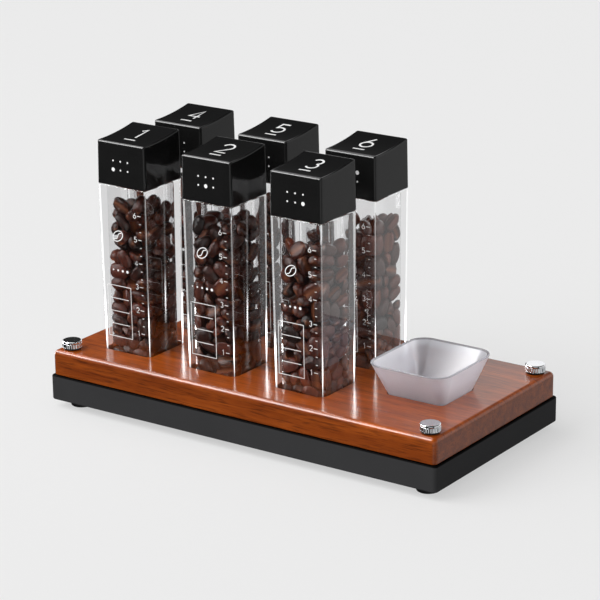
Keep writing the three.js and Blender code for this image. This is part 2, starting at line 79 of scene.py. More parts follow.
def add_node(tree, kind, settings, inputs):
    """Adds a node. Settings are its own properties, and inputs its sockets, by name or by number: each is a
    value, or another node's output to link."""
    node = tree.nodes.new(kind)
    for name, value in settings.items():
        setattr(node, name, value)
    for name, value in inputs.items():
        if isinstance(value, bpy.types.NodeSocket):
            tree.links.new(value, node.inputs[name])
        else:
            node.inputs[name].default_value = value
    return node


def new_tree(owner):
    """Gives a material or a world an empty node tree."""
    owner.use_nodes = True
    owner.node_tree.nodes.clear()
    return owner.node_tree


def parted(tree, direct, mirrored):
    """One shader for rays that come straight or from a dull surface, and another for rays that a glossy one
    mirrored first: the number of mirrorings, less one for a dull ray, kept between nought and one."""
    path = add_node(tree, "ShaderNodeLightPath", {}, {})
    bounced = add_node(tree, "ShaderNodeMath", {"operation": "SUBTRACT", "use_clamp": True}, {
        0: path.outputs["Glossy Depth"], 1: path.outputs["Is Diffuse Ray"],
    })
    mixed = add_node(tree, "ShaderNodeMixShader", {}, {0: bounced.outputs[0], 1: direct, 2: mirrored})
    return mixed.outputs[0]


scene = bpy.context.scene
scene.view_settings.view_transform = "Standard"

# Opal acrylic lit from below: an even pale grey on which shadows stay faint. Mirrored rays go through it to
# the tent, so that the table lays no grey veil over glossy faces.
paper = bpy.data.materials.new("studio_light_table")
tree = new_tree(paper)
sheet = add_node(tree, "ShaderNodeBsdfPrincipled", {}, {
    "Base Color": linear("#949494"),
    "Roughness": 0.9,
    "Specular IOR Level": 0.1,
    "Emission Color": WHITE,
    "Emission Strength": 0.54,
})
gone = add_node(tree, "ShaderNodeBsdfTransparent", {}, {})
add_node(tree, "ShaderNodeOutputMaterial", {}, {"Surface": parted(tree, sheet.outputs[0], gone.outputs[0])})
paper.cycles.emission_sampling = "NONE"  # rays find the table by themselves, as they do the tent

FLOOR_SIDE = 16000
corner = FLOOR_SIDE / 2 * MM
floor_mesh = bpy.data.meshes.new("studio_floor")
floor_corners = [(-corner, -corner, 0), (corner, -corner, 0), (corner, corner, 0), (-corner, corner, 0)]
floor_mesh.from_pydata(floor_corners, [], [(0, 1, 2, 3)])
floor_mesh.materials.append(paper)
floor = bpy.data.objects.new("studio_floor", floor_mesh)
scene.collection.objects.link(floor)
floor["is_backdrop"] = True


def bank(tree, way, towards, start, stop, before, after, ease="SMOOTHSTEP"):
    """Light that changes across the tent: the cosine between the way looked and a direction brings it from
    one level, before start, to another, after stop."""
    cosine = add_node(tree, "ShaderNodeVectorMath", {"operation": "DOT_PRODUCT"}, {0: way, 1: towards})
    level = add_node(tree, "ShaderNodeMapRange", {"interpolation_type": ease}, {
        "Value": cosine.outputs["Value"],
        "From Min": start, "From Max": stop, "To Min": before, "To Max": after,
    })
    return level.outputs[0]


FRONT_LEFT = (-0.625, -0.78, 0)
FRONT_RIGHT = (0.574, -0.819, 0)
REAR_RIGHT = (0.575, 0.818, 0)
UP = (0, 0, 1)

tent = bpy.data.worlds.new("studio_tent")
tree = new_tree(tent)
way = add_node(tree, "ShaderNodeTexCoord", {}, {}).outputs["Generated"]
falloff = bank(tree, way, FRONT_LEFT, -0.8, 1.0, 0.02, 1.24, "LINEAR")
wall = bank(tree, way, REAR_RIGHT, 0.265, 0.375, 0.03, 1.1)
table = bank(tree, way, UP, -0.2, 0.1, 0.42, 1.0)
flag = bank(tree, way, UP, 0.38, 0.6, 1.0, 0.06)
card = bank(tree, way, FRONT_RIGHT, 0.8, 0.95, 0.0, 0.7)
walled = add_node(tree, "ShaderNodeMath", {"operation": "MULTIPLY"}, {0: wall, 1: table})
flagged = add_node(tree, "ShaderNodeMath", {"operation": "MULTIPLY"}, {0: walled.outputs[0], 1: flag})
hung = add_node(tree, "ShaderNodeMath", {"operation": "ADD"}, {0: flagged.outputs[0], 1: card})
glow, mirrored = [
    add_node(tree, "ShaderNodeBackground", {}, {"Color": WHITE, "Strength": strength}).outputs[0]
    for strength in (falloff, hung.outputs[0])
]
add_node(tree, "ShaderNodeOutputWorld", {}, {"Surface": parted(tree, glow, mirrored)})
tent.cycles.sampling_method = "NONE"  # rays find the tent by themselves, so it can tell which are mirrored
scene.world = tent


def add_light(name, kind, place, target, unseen, **settings):
    """A light at place that shines towards target, and that the kinds of ray named as unseen pass by."""
    light = bpy.data.lights.new(name, kind)
    for key, value in settings.items():
        setattr(light, key, value)
    lamp = bpy.data.objects.new(name, light)
    aim = (Vector(target) - Vector(place)).to_track_quat("-Z", "Y")
    lamp.matrix_world = Matrix.Translation(Vector(place) * MM) @ aim.to_matrix().to_4x4()
    for rays in unseen:
        setattr(lamp, f"visible_{rays}", False)
    scene.collection.objects.link(lamp)
    return lamp


MIDDLE = (0, 0, 0)
MID_HEIGHT = (0, 0, 100)

add_light("key", "SUN", (-900, -800, 1300), MIDDLE, ["glossy"], energy=1.6, angle=math.radians(50))
add_light("fill", "SUN", (-500, -900, 160), MIDDLE, ["glossy"], energy=0.5, angle=math.radians(30))
# Panels that are only there to be mirrored, as gleams along edges.
for name, place, energy, width, height in (
    ("edge_strip", (-790, -645, 1130), 26, 0.9, 0.6),
    ("overhead_panel", (-790, 290, 1275), 7, 0.9, 0.8),
    ("side_strip", (-1300, 100, 250), 20, 0.5, 1.2),
):
    add_light(name, "AREA", place, MID_HEIGHT, ["diffuse", "transmission"],
              energy=energy, shape="RECTANGLE", size=width, size_y=height)

# Camera: it looks down eighteen degrees past the front right corner of the stand, through a long lens, and is
# rolled a little to its left.
CAMERA_AZIMUTH = math.radians(35.093)
CAMERA_ELEVATION = math.radians(18.287)
CAMERA_ROLL = math.radians(-0.697)
CAMERA_DISTANCE = 1558.5
CAMERA_LENS = 155.05
CAMERA_SENSOR = 36
CAMERA_TARGET = Vector((0, 0, 77.78))
CAMERA_SLIDE = (0.36, -2.12)  # to the right and up, from the target

back = Vector((
    math.sin(CAMERA_AZIMUTH) * math.cos(CAMERA_ELEVATION),
    -math.cos(CAMERA_AZIMUTH) * math.cos(CAMERA_ELEVATION),
    math.sin(CAMERA_ELEVATION),
))
right = Vector((math.cos(CAMERA_AZIMUTH), math.sin(CAMERA_AZIMUTH), 0))
up = back.cross(right)
eye = CAMERA_TARGET + right * CAMERA_SLIDE[0] + up * CAMERA_SLIDE[1] + back * CAMERA_DISTANCE
rolled_right = right * math.cos(CAMERA_ROLL) + up * math.sin(CAMERA_ROLL)
rolled_up = up * math.cos(CAMERA_ROLL) - right * math.sin(CAMERA_ROLL)
lens = bpy.data.cameras.new("camera")
lens.lens = CAMERA_LENS
lens.sensor_width = CAMERA_SENSOR
lens.clip_start = 0.1
lens.clip_end = 50
camera = bpy.data.objects.new("camera", lens)
turn = Matrix((rolled_right, rolled_up, back)).transposed().to_4x4()
camera.matrix_world = Matrix.Translation(eye * MM) @ turn
scene.collection.objects.link(camera)
scene.camera = camera

# Feet: four moulded rubber buttons, each screwed up into the base from a pocket in its underside. Only their
# rims show, as a dark sliver under the base.


def span(node):
    """A node's lowest and highest corners, in millimetres."""
    low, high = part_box(node)
    return np.array(low) / MM, np.array(high) / MM


def turned(profile, centre, steps=48):
    """A profile of (radius, height) pairs swung once round an upright axis: the radius times the cosine and
    sine of the turn gives x and y."""
    turns = np.linspace(0, 2 * np.pi, steps, endpoint=False)
    radius, height = np.array(profile, float).T[:, :, None]
    x = centre[0] + radius * np.cos(turns)
    y = centre[1] + radius * np.sin(turns)
    return np.stack([x, y, np.broadcast_to(height, x.shape)], axis=-1)


def rounding(radius, start, stop, steps=4):
    """Points of a round edge as (inset, drop) pairs: the radius less its cosine and sine parts, from the
    start angle to the stop angle in degrees."""
    angle = np.radians(np.linspace(start, stop, steps + 1))
    return np.stack([radius * (1 - np.cos(angle)), radius * (1 - np.sin(angle))], axis=-1)


def lower_edge(radius, foot, steps=4):
    """A quarter round at a foot, as (inset, height) pairs on the way out and up."""
    return [(inset, foot + rise) for inset, rise in rounding(radius, 90, 0, steps)]


def upper_edge(radius, top, steps=4):
    """A quarter round at a top, as (inset, height) pairs on the way up and in."""
    return [(inset, top - drop) for inset, drop in rounding(radius, 0, 90, steps)]


def drawn_in(radius, edge):
    """An edge of a turned piece as (radius, height) pairs: the radius less each inset."""
    return [(radius - inset, height) for inset, height in edge]


def skin(rings, closed=False):
    """Four-sided faces between each ring of points and the next. The last ring joins the first where the skin
    is closed, and otherwise both get a cap."""
    rows, steps = rings.shape[:2]
    index = np.arange(rows * steps).reshape(rows, steps)
    lower = index if closed else index[:-1]
    upper = np.roll(index, -1, axis=0) if closed else index[1:]
    quads = np.stack([lower, np.roll(lower, -1, axis=1), np.roll(upper, -1, axis=1), upper], axis=-1)
    faces = quads.reshape(-1, 4).tolist()
    if not closed:
        faces += [index[0][::-1].tolist(), index[-1].tolist()]
    return rings.reshape(-1, 3), faces


def add_piece(name, shape, finish, body, replaced=(), crease=35):
    """A piece of the object from points in millimetres and faces: smooth, but sharp where two faces meet at
    more than the crease angle, and riding on its body."""
    points, faces = shape
    mesh = bpy.data.meshes.new(name)
    mesh.from_pydata(points * MM, [], faces)
    mesh.shade_smooth()
    mesh.set_sharp_from_angle(angle=math.radians(crease))
    mesh.materials.append(finish)
    made = bpy.data.objects.new(name, mesh)
    scene.collection.objects.link(made)
    made.modifiers.new("even_normals", "WEIGHTED_NORMAL").keep_sharp = True
    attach(made, body)
    if replaced:
        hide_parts(*replaced)
    return made


def new_finish(name):
    """A new material with an empty node tree, and the place on the piece where its patterns are drawn."""
    finish = bpy.data.materials.new(name)
    tree = new_tree(finish)
    return finish, tree, add_node(tree, "ShaderNodeTexCoord", {}, {}).outputs["Object"]


SHARE, FIRST, SECOND, MIXED = 0, 6, 7, 2  # the sockets for colours of a Mix node, whose names repeat


def mottle(tree, place, size, deep, pale, **noise):
    """Clouds of a size in millimetres, and the colour that they make between a deep one and a pale one."""
    cloud = add_node(tree, "ShaderNodeTexNoise", {}, {"Vector": place, "Scale": 1 / (size * MM), **noise})
    tone = add_node(tree, "ShaderNodeMix", {"data_type": "RGBA"}, {
        SHARE: cloud.outputs[0], FIRST: linear(deep), SECOND: linear(pale),
    })
    return cloud.outputs[0], tone.outputs[MIXED]


def surfaced(tree, sockets):
    """Ends a finish: one surface with these sockets, led to the output."""
    surface = add_node(tree, "ShaderNodeBsdfPrincipled", {}, sockets)
    add_node(tree, "ShaderNodeOutputMaterial", {}, {"Surface": surface.outputs[0]})


# Nitrile rubber, moulded in a blasted tool: near black, with a soft wide gloss and a fine grain.
rubber, tree, place = new_finish("moulded_rubber")
grain, tone = mottle(tree, place, 0.5, "#0d0d0e", "#1b1b1c")
relief = add_node(tree, "ShaderNodeBump", {}, {"Strength": 0.2, "Distance": 0.1 * MM, "Height": grain})
surfaced(tree, {"Base Color": tone, "Roughness": 0.55, "Normal": relief.outputs[0]})

FOOT_TAPER = 1.5
FOOT_EDGE = 0.9
FOOT_POCKET_RADIUS = 3.9
FOOT_POCKET_DEPTH = 2.8
FOOT_BORE_RADIUS = 2.2
CORNERS = range(1, 5)

for number in CORNERS:
    low, high = span(f"foot_{number}")
    radius = (high[0] - low[0]) / 2
    profile = [(FOOT_BORE_RADIUS, high[2]), (FOOT_BORE_RADIUS, FOOT_POCKET_DEPTH)]
    profile += [(FOOT_POCKET_RADIUS, FOOT_POCKET_DEPTH), (FOOT_POCKET_RADIUS, low[2])]
    profile += drawn_in(radius - FOOT_TAPER, lower_edge(FOOT_EDGE, low[2]))
    profile += [(radius, high[2])]
    shape = skin(turned(profile, (low + high) / 2), closed=True)
    add_piece(f"rubber_foot_{number}", shape, rubber, "stand", [f"foot_{number}"])

# Screws: plain steel screws, one up through each foot and one down through each corner of the board. Both go
# into the base, and their heads are sunk or covered, so that they keep the shapes of the frame.

# Zinc-plated steel: a grey metal, a little uneven from the plating bath.
zinc, tree, place = new_finish("zinc_plated_steel")
cloud, tone = mottle(tree, place, 2, "#9a9b9d", "#c6c7c9")
dull = add_node(tree, "ShaderNodeMapRange", {}, {"Value": cloud, "To Min": 0.25, "To Max": 0.45})
surfaced(tree, {"Base Color": tone, "Metallic": 1.0, "Roughness": dull.outputs[0]})

for number in CORNERS:
    for node in (f"foot_screw_{number}", f"board_screw_{number}"):
        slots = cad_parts[node].data.materials
        slots.clear()
        slots.append(zinc)

# Base plate: a flat board in black satin lacquer, its edges eased by hand sanding. It carries the wood board
# and stands on the feet.
LEAST_CORNER = 0.3


def rounded_outline(width, depth, radius, arc_steps=8, shares=()):
    """A rectangle with round corners, counter-clockwise: each corner's centre plus the radius in a direction
    that turns through ninety degrees, with points at the given shares of the sides between the corners."""
    angle = np.linspace(0, np.pi / 2, arc_steps + 1) + np.arange(4)[:, None] * np.pi / 2
    sign_x = np.array([1, -1, -1, 1])[:, None]
    sign_y = np.array([1, 1, -1, -1])[:, None]
    x = sign_x * (width / 2 - radius) + radius * np.cos(angle)
    y = sign_y * (depth / 2 - radius) + radius * np.sin(angle)
    arcs = np.stack([x, y], axis=-1)
    share = np.array(shares)[:, None]
    sides = arcs[:, -1:] * (1 - share) + np.roll(arcs, -1, axis=0)[:, :1] * share
    return np.concatenate([arcs, sides], axis=1).reshape(-1, 2)


def stacked(levels, centre=(0, 0), arc_steps=8, shares=()):
    """Rounded outlines one above the other, from (width, depth, corner radius, height) rows."""
    rings = [
        np.column_stack([rounded_outline(width, depth, radius, arc_steps, shares),
                         np.full(4 * (arc_steps + 1 + len(shares)), height)])
        for width, depth, radius, height in levels
    ]
    return np.array(rings) + np.array([centre[0], centre[1], 0])


def inset_levels(size, radius, edge):
    """Rows for an edge of a block, from (inset, height) pairs: the width and the depth less twice each inset,
    and the corner radius less the inset, as far as the least corner."""
    width, depth = size
    return [(width - 2 * inset, depth - 2 * inset, max(radius - inset, LEAST_CORNER), height)
            for inset, height in edge]


def facing(tree):
    """The way that a face is turned, as its parts along x, y and z."""
    met = add_node(tree, "ShaderNodeNewGeometry", {}, {})
    return add_node(tree, "ShaderNodeSeparateXYZ", {}, {0: met.outputs["Normal"]}).outputs


def laid_over(tree, under, over, pattern, start, stop, least=0.0, most=1.0, blend="MIX"):
    """A colour laid over another, by a share that goes from least to most as a pattern goes from start to
    stop."""
    share = add_node(tree, "ShaderNodeMapRange", {}, {
        "Value": pattern, "From Min": start, "From Max": stop, "To Min": least, "To Max": most,
    })
    mixed = add_node(tree, "ShaderNodeMix", {"data_type": "RGBA", "blend_type": blend}, {
        SHARE: share.outputs[0], FIRST: under, SECOND: linear(over),
    })
    return mixed.outputs[MIXED]


# Satin lacquer over sanded board: black, evenly dull, with a faint orange-peel ripple. Faces that look up
# are painted near black as painted shade, which shows as a black line under the wood.
lacquer, tree, place = new_finish("black_satin_lacquer")
mist, tone = mottle(tree, place, 30, "#2f2f30", "#353536", Detail=4.0)
peel = add_node(tree, "ShaderNodeTexNoise", {}, {"Vector": place, "Scale": 1 / (1.2 * MM)})
dull = add_node(tree, "ShaderNodeMapRange", {}, {"Value": mist, "To Min": 0.5, "To Max": 0.62})
relief = add_node(tree, "ShaderNodeBump", {}, {
    "Strength": 0.05, "Distance": 0.1 * MM, "Height": peel.outputs[0],
})
surfaced(tree, {
    # Faces that look up are painted near black: painted shade, for the dark line under the wood.
    "Base Color": laid_over(tree, tone, "#060606", facing(tree)["Z"], 0.1, 0.5),
    "Roughness": dull.outputs[0],
    "Specular IOR Level": 0.02,
    "Normal": relief.outputs[0],
})

BASE_CORNER = 2.6
BASE_EDGE = 1.0

low, high = span("base_plate")
edges = lower_edge(BASE_EDGE, low[2]) + upper_edge(BASE_EDGE, high[2])
shape = skin(stacked(inset_levels((high - low)[:2], BASE_CORNER, edges)))
add_piece("lacquered_base", shape, lacquer, "stand", ["base_plate"])

# Board: one plank of red-brown wood under thick clear varnish, with a rounded upper edge. Seven windows are
# cut through it, one for each jar and one for the dish, and its corners are bored for screws.


def joined(shapes):
    """Several shapes as one: their points one after the other, and their faces counted on."""
    starts = np.cumsum([0] + [len(points) for points, _ in shapes[:-1]])
    faces = [[int(k + start) for k in face] for start, (_, own) in zip(starts, shapes) for face in own]
    return np.concatenate([points for points, _ in shapes]), faces


def along_grain(tree, place, length, width, **noise):
    """Marks along the grain: noise drawn out to a length along x and a width across it, in millimetres."""
    drawn = add_node(tree, "ShaderNodeMapping", {}, {
        "Vector": place, "Scale": (1 / (length * MM), 1 / (width * MM), 1 / (width * MM)),
    })
    marks = add_node(tree, "ShaderNodeTexNoise", {}, {"Vector": drawn.outputs[0], "Scale": 1.0, **noise})
    return marks.outputs[0]


# Red-brown hardwood, planed, given a stain and varnished: long fine streaks, short dark pores along the
# grain, broad lighter and darker patches, sides painted darker than the top as painted shade, and a clear
# gloss over all.
wood, tree, place = new_finish("varnished_hardwood")
streak = along_grain(tree, place, 70, 5, Detail=6.0, Roughness=0.6, Distortion=0.4)
pore = along_grain(tree, place, 12, 0.8, Detail=2.0)
patch = add_node(tree, "ShaderNodeTexNoise", {}, {"Vector": place, "Scale": 1 / (45 * MM)})
tone = laid_over(tree, linear("#853706"), "#c55f15", streak, 0.3, 0.7)
patched = laid_over(tree, tone, "#913f0a", patch.outputs[0], 0.35, 0.75, most=0.45)
pored = laid_over(tree, patched, "#3a1505", pore, 0.5, 0.72, most=0.6)
# Sides painted darker than the top by the way each face is turned: painted shade.
side_shade_painted = laid_over(tree, pored, "#1a1a1a", facing(tree)["Z"], 0.1, 0.8, 0.45, 0.0, "MULTIPLY")
surfaced(tree, {
    "Base Color": side_shade_painted,
    "Roughness": 0.4,
    "Specular IOR Level": 0.05,
    "Coat Weight": 0.9,
    "Coat Roughness": 0.18,
})

BOARD_CORNER = 3.1
BOARD_EDGE = 3.0
BOARD_LOWER_EDGE = 0.7
WINDOW_SIDE = 36.0
WINDOW_CORNER = 4.5
DISH_WINDOW = (40.2, 36.8)
DISH_WINDOW_CORNER = 3.4
WINDOW_EASE = 0.4  # the upper edge of each jar's window, eased so that the jar slides in
CUT_MARGIN = 2.0
SCREW_BORE_RADIUS = 2.4
SCREW_SINK_RADIUS = 4.6
SCREW_SINK_DEPTH = 2.6
SCREW_SINK_WALL = 0.2  # upright, over the cone
JARS = range(1, 7)

low, high = span("wood_board")
edges = lower_edge(BOARD_LOWER_EDGE, low[2], 2) + upper_edge(BOARD_EDGE, high[2], 8)
plank = skin(stacked(inset_levels((high - low)[:2], BOARD_CORNER, edges)))

below, above = low[2] - CUT_MARGIN, high[2] + CUT_MARGIN
windows = [(f"jar_{number}", (WINDOW_SIDE, WINDOW_SIDE), WINDOW_CORNER, WINDOW_EASE) for number in JARS]
windows += [("dosing_dish", DISH_WINDOW, DISH_WINDOW_CORNER, 0)]
cuts = []
for node, size, corner, ease in windows:
    edges = [(0, below), (0, high[2] - WINDOW_EASE), (-ease, high[2]), (-ease, above)]
    cuts.append(skin(stacked(inset_levels(size, corner, edges), sum(span(node)) / 2)))
for number in CORNERS:
    profile = [(SCREW_BORE_RADIUS, below), (SCREW_BORE_RADIUS, high[2] - SCREW_SINK_DEPTH)]
    profile += [(SCREW_SINK_RADIUS, high[2] - SCREW_SINK_WALL), (SCREW_SINK_RADIUS, above)]
    cuts.append(skin(turned(profile, sum(span(f"board_screw_{number}")) / 2, 24)))


def carved(shape, cut):
    """One closed shape with another taken out of it."""
    holders = []
    for name, (points, faces) in (("blank", shape), ("cut", cut)):
        mesh = bpy.data.meshes.new(name)
        mesh.from_pydata(points, [], faces)
        holders.append(bpy.data.objects.new(name, mesh))
        scene.collection.objects.link(holders[-1])
    carving = holders[0].modifiers.new("cut", "BOOLEAN")
    carving.object = holders[1]
    carving.solver = "EXACT"
    result = holders[0].evaluated_get(bpy.context.evaluated_depsgraph_get()).to_mesh()
    points = np.empty(len(result.vertices) * 3)
    result.vertices.foreach_get("co", points)
    faces = [list(face.vertices) for face in result.polygons]
    for holder in holders:
        spare = holder.data
        bpy.data.objects.remove(holder)
        bpy.data.meshes.remove(spare)
    return points.reshape(-1, 3), faces


board = carved(plank, joined(cuts))
add_piece("varnished_board", board, wood, "stand", ["wood_board"], crease=40)

# Screw covers: turned brass caps plated with bright chrome, each screwed by its fluted edge into the head
# of a board screw, over a thin black washer.

# Bright chrome: a near-white mirror, faintly hazed in patches by handling.
chrome, tree, place = new_finish("bright_chrome")
haze, tone = mottle(tree, place, 3, "#d9dbde", "#f0f1f3")
dull = add_node(tree, "ShaderNodeMapRange", {}, {"Value": haze, "To Min": 0.05, "To Max": 0.14})
surfaced(tree, {"Base Color": tone, "Metallic": 1.0, "Roughness": dull.outputs[0]})

COVER_EDGE = 0.7
COVER_FOOT_EDGE = 0.3
COVER_STUD_RADIUS = 1.5
COVER_HEIGHT = 4.3
COVER_NECK = 0.35  # depth of the turned groove between the fluted edge and the top
COVER_TOP_SHARES = (0.96, 0.5, 0.02)  # of the way out from the middle of the top
FLUTES = 30
FLUTE_DEPTH = 0.28
FLUTE_FORM = (0, 0.7, 1, 0.7)  # one flute, as shares of its depth
WASHER_BORE_RADIUS = 1.9
WASHER_EDGE = 0.2

for number in CORNERS:
    low, high = span(f"screw_cover_{number}")
    radius = (high[0] - low[0]) / 2
    middle = (low + high) / 2
    foot = high[2] - COVER_HEIGHT
    groove = high[2] - 2 * COVER_EDGE
    profile = [(COVER_STUD_RADIUS, low[2]), (COVER_STUD_RADIUS, foot)]
    profile += drawn_in(radius, lower_edge(COVER_FOOT_EDGE, foot, 2))
    fluted = slice(len(profile) - 1, len(profile) + 1)
    profile += [(radius, groove - COVER_NECK), (radius - COVER_NECK, groove - COVER_NECK / 2)]
    profile += drawn_in(radius, upper_edge(COVER_EDGE, high[2], 5))
    profile += [((radius - COVER_EDGE) * share, high[2]) for share in COVER_TOP_SHARES]
    rings = turned(profile, middle, len(FLUTE_FORM) * FLUTES)
    dip = np.tile(FLUTE_FORM, FLUTES)[:, None] * FLUTE_DEPTH / radius
    rings[fluted, :, :2] -= (rings[fluted, :, :2] - middle[:2]) * dip
    shape = skin(rings)
    add_piece(f"chrome_cover_{number}", shape, chrome, "stand", [f"screw_cover_{number}"])

    low, high = span(f"cover_washer_{number}")
    radius = (high[0] - low[0]) / 2
    profile = [(WASHER_BORE_RADIUS, high[2]), (WASHER_BORE_RADIUS, low[2])]
    profile += drawn_in(radius, lower_edge(WASHER_EDGE, low[2], 2) + upper_edge(WASHER_EDGE, high[2], 2))
    shape = skin(turned(profile, (low + high) / 2), closed=True)
    add_piece(f"washer_{number}", shape, rubber, "stand", [f"cover_washer_{number}"])

# Jars: thick-walled square canisters of clear moulded plastic, standing on the base in the windows of the
# board. The neck is stepped in, with a groove for the seal, and the lid slips over it.


def lit_through(tree, surface, tint):
    """Leads a shader to the output, and lets lamps shine through it with a tint, so that its shadow is
    light."""
    through = add_node(tree, "ShaderNodeBsdfTransparent", {}, {"Color": linear(tint)})
    path = add_node(tree, "ShaderNodeLightPath", {}, {})
    mixed = add_node(tree, "ShaderNodeMixShader", {}, {
        0: path.outputs["Is Shadow Ray"], 1: surface, 2: through.outputs[0],
    })
    add_node(tree, "ShaderNodeOutputMaterial", {}, {"Surface": mixed.outputs[0]})


def clear_plastic(name, gloss, deep, pale):
    """Clear plastic with more or less of a mirroring skin, between two tints. It bends light on the way in
    and lets it out unbent, so that none is caught in a wall and turns dark."""
    made, tree, place = new_finish(name)
    flow, tint = mottle(tree, place, 18, deep, pale)
    polish = add_node(tree, "ShaderNodeMapRange", {}, {"Value": flow, "To Min": 0.0, "To Max": 0.03})
    glass = add_node(tree, "ShaderNodeBsdfPrincipled", {}, {
        "Base Color": tint,
        "Roughness": polish.outputs[0],
        "IOR": 1.45,
        "Transmission Weight": 1.0,
        "Coat Weight": gloss,
        "Coat Roughness": 0.03,
        "Coat IOR": 2.0,
    })
    out = add_node(tree, "ShaderNodeBsdfTransparent", {}, {"Color": linear("#fcfcfc")})
    met = add_node(tree, "ShaderNodeNewGeometry", {}, {})
    bent = add_node(tree, "ShaderNodeMixShader", {}, {
        0: met.outputs["Backfacing"], 1: glass.outputs[0], 2: out.outputs[0],
    })
    lit_through(tree, bent.outputs[0], "#f0f0f0")
    return made


# Clear styrene acrylonitrile, moulded in a polished tool: colourless, with a bright gloss on its outer
# skin, none in the bore and the neck, and a grey tint in two corners, painted shade which draws the jar's
# outline.
clear = clear_plastic("clear_moulded_plastic", 1.0, "#f6f6f8", "#fefefe")
clear_inside = clear_plastic("clear_plastic_inside", 0.0, "#f6f6f8", "#fefefe")
shaded_outline_plastic = clear_plastic("clear_plastic_painted_shade", 0.0, "#7b7d80", "#97999b")

# The same plastic with a painted highlight: a pale line up a corner that glows, though no lamp is there. The
# line is brightest a little over the board, and for mirrored rays it glows brighter on faces turned to the
# right, as a painted reflection in the varnish.
GLOW_HEIGHT = 54
GLOW_REACH = 20
GLOW_LEAST = 0.4
GLOW_MOST = 5.0
PAINTED_GLEAM = 15.0  # what a mirroring surface adds to the brightest glow

painted_glow_finish, tree, place = new_finish("painted_glow_plastic")
_, tint = mottle(tree, place, 9, "#c8c8ca", "#f4f4f4")
about = add_node(tree, "ShaderNodeMapping", {}, {
    "Vector": place, "Location": (0, 0, -GLOW_HEIGHT / GLOW_REACH), "Scale": (0, 0, 1 / (GLOW_REACH * MM)),
})
nearness = add_node(tree, "ShaderNodeTexGradient", {"gradient_type": "SPHERICAL"}, {0: about.outputs[0]})
path = add_node(tree, "ShaderNodeLightPath", {}, {})
thrown = add_node(tree, "ShaderNodeMath", {"operation": "MULTIPLY", "use_clamp": True}, {
    0: path.outputs["Is Glossy Ray"], 1: facing(tree)["X"],
})
peak = add_node(tree, "ShaderNodeMath", {"operation": "MULTIPLY_ADD"}, {
    0: thrown.outputs[0], 1: PAINTED_GLEAM, 2: GLOW_MOST,
})
level = add_node(tree, "ShaderNodeMapRange", {"interpolation_type": "SMOOTHSTEP"}, {
    "Value": nearness.outputs["Fac"], "To Min": GLOW_LEAST, "To Max": peak.outputs[0],
})
share = add_node(tree, "ShaderNodeAttribute", {"attribute_name": "glow"}, {})
shine = add_node(tree, "ShaderNodeMath", {"operation": "MULTIPLY"}, {
    0: level.outputs[0], 1: share.outputs["Fac"],
})
surfaced(tree, {
    "Base Color": tint,
    "Roughness": 0.1,
    "IOR": 1.02,
    "Transmission Weight": 0.85,
    "Emission Color": WHITE,
    "Emission Strength": shine.outputs[0],
})

JAR_CORNER = 1.5
JAR_EDGE = 0.8
JAR_LEAN = 0.95  # of each wall, outwards from the foot to the shoulder
JAR_BODY_HEIGHT = 121.3
JAR_FLOOR = 4.0
BORE_SIDE = 28.0
BORE_CORNER = 3.0
BORE_MOUTH_EDGE = 0.2
BORE_FLOOR_EDGE = 2.0
NECK_SIDE = 32.0
NECK_CORNER = 2.6
NECK_EDGE = 0.5
GROOVE_DEPTH = 0.7
GROOVE_HEIGHT = 2.6
GROOVE_DROP = 4.0
ARC = 6  # faces round each corner of a jar or a lid
JAR_LINES = (0.022, 0.978)  # how far the pale lines reach into each side, as shares of it
RIGHT_REAR, LEFT_REAR, LEFT_FRONT, RIGHT_FRONT = range(4)  # corners, in the order of an outline
GLOWING, INSIDE, SHADED_OUTLINE = 1, 2, 3  # finishes of a jar's faces, beside the plain one


def give_finishes(piece, others, picks):
    """More finishes for a piece, and for each face the number of the one it takes."""
    for finish in others:
        piece.data.materials.append(finish)
    piece.data.polygons.foreach_set("material_index", picks)


def give_values(piece, name, domain, values):
    """Numbers on the points or the faces of a piece, which its finish reads by name."""
    piece.data.attributes.new(name, "FLOAT", domain).data.foreach_set("value", values)


NECK, BORE = (NECK_SIDE, NECK_SIDE), (BORE_SIDE, BORE_SIDE)

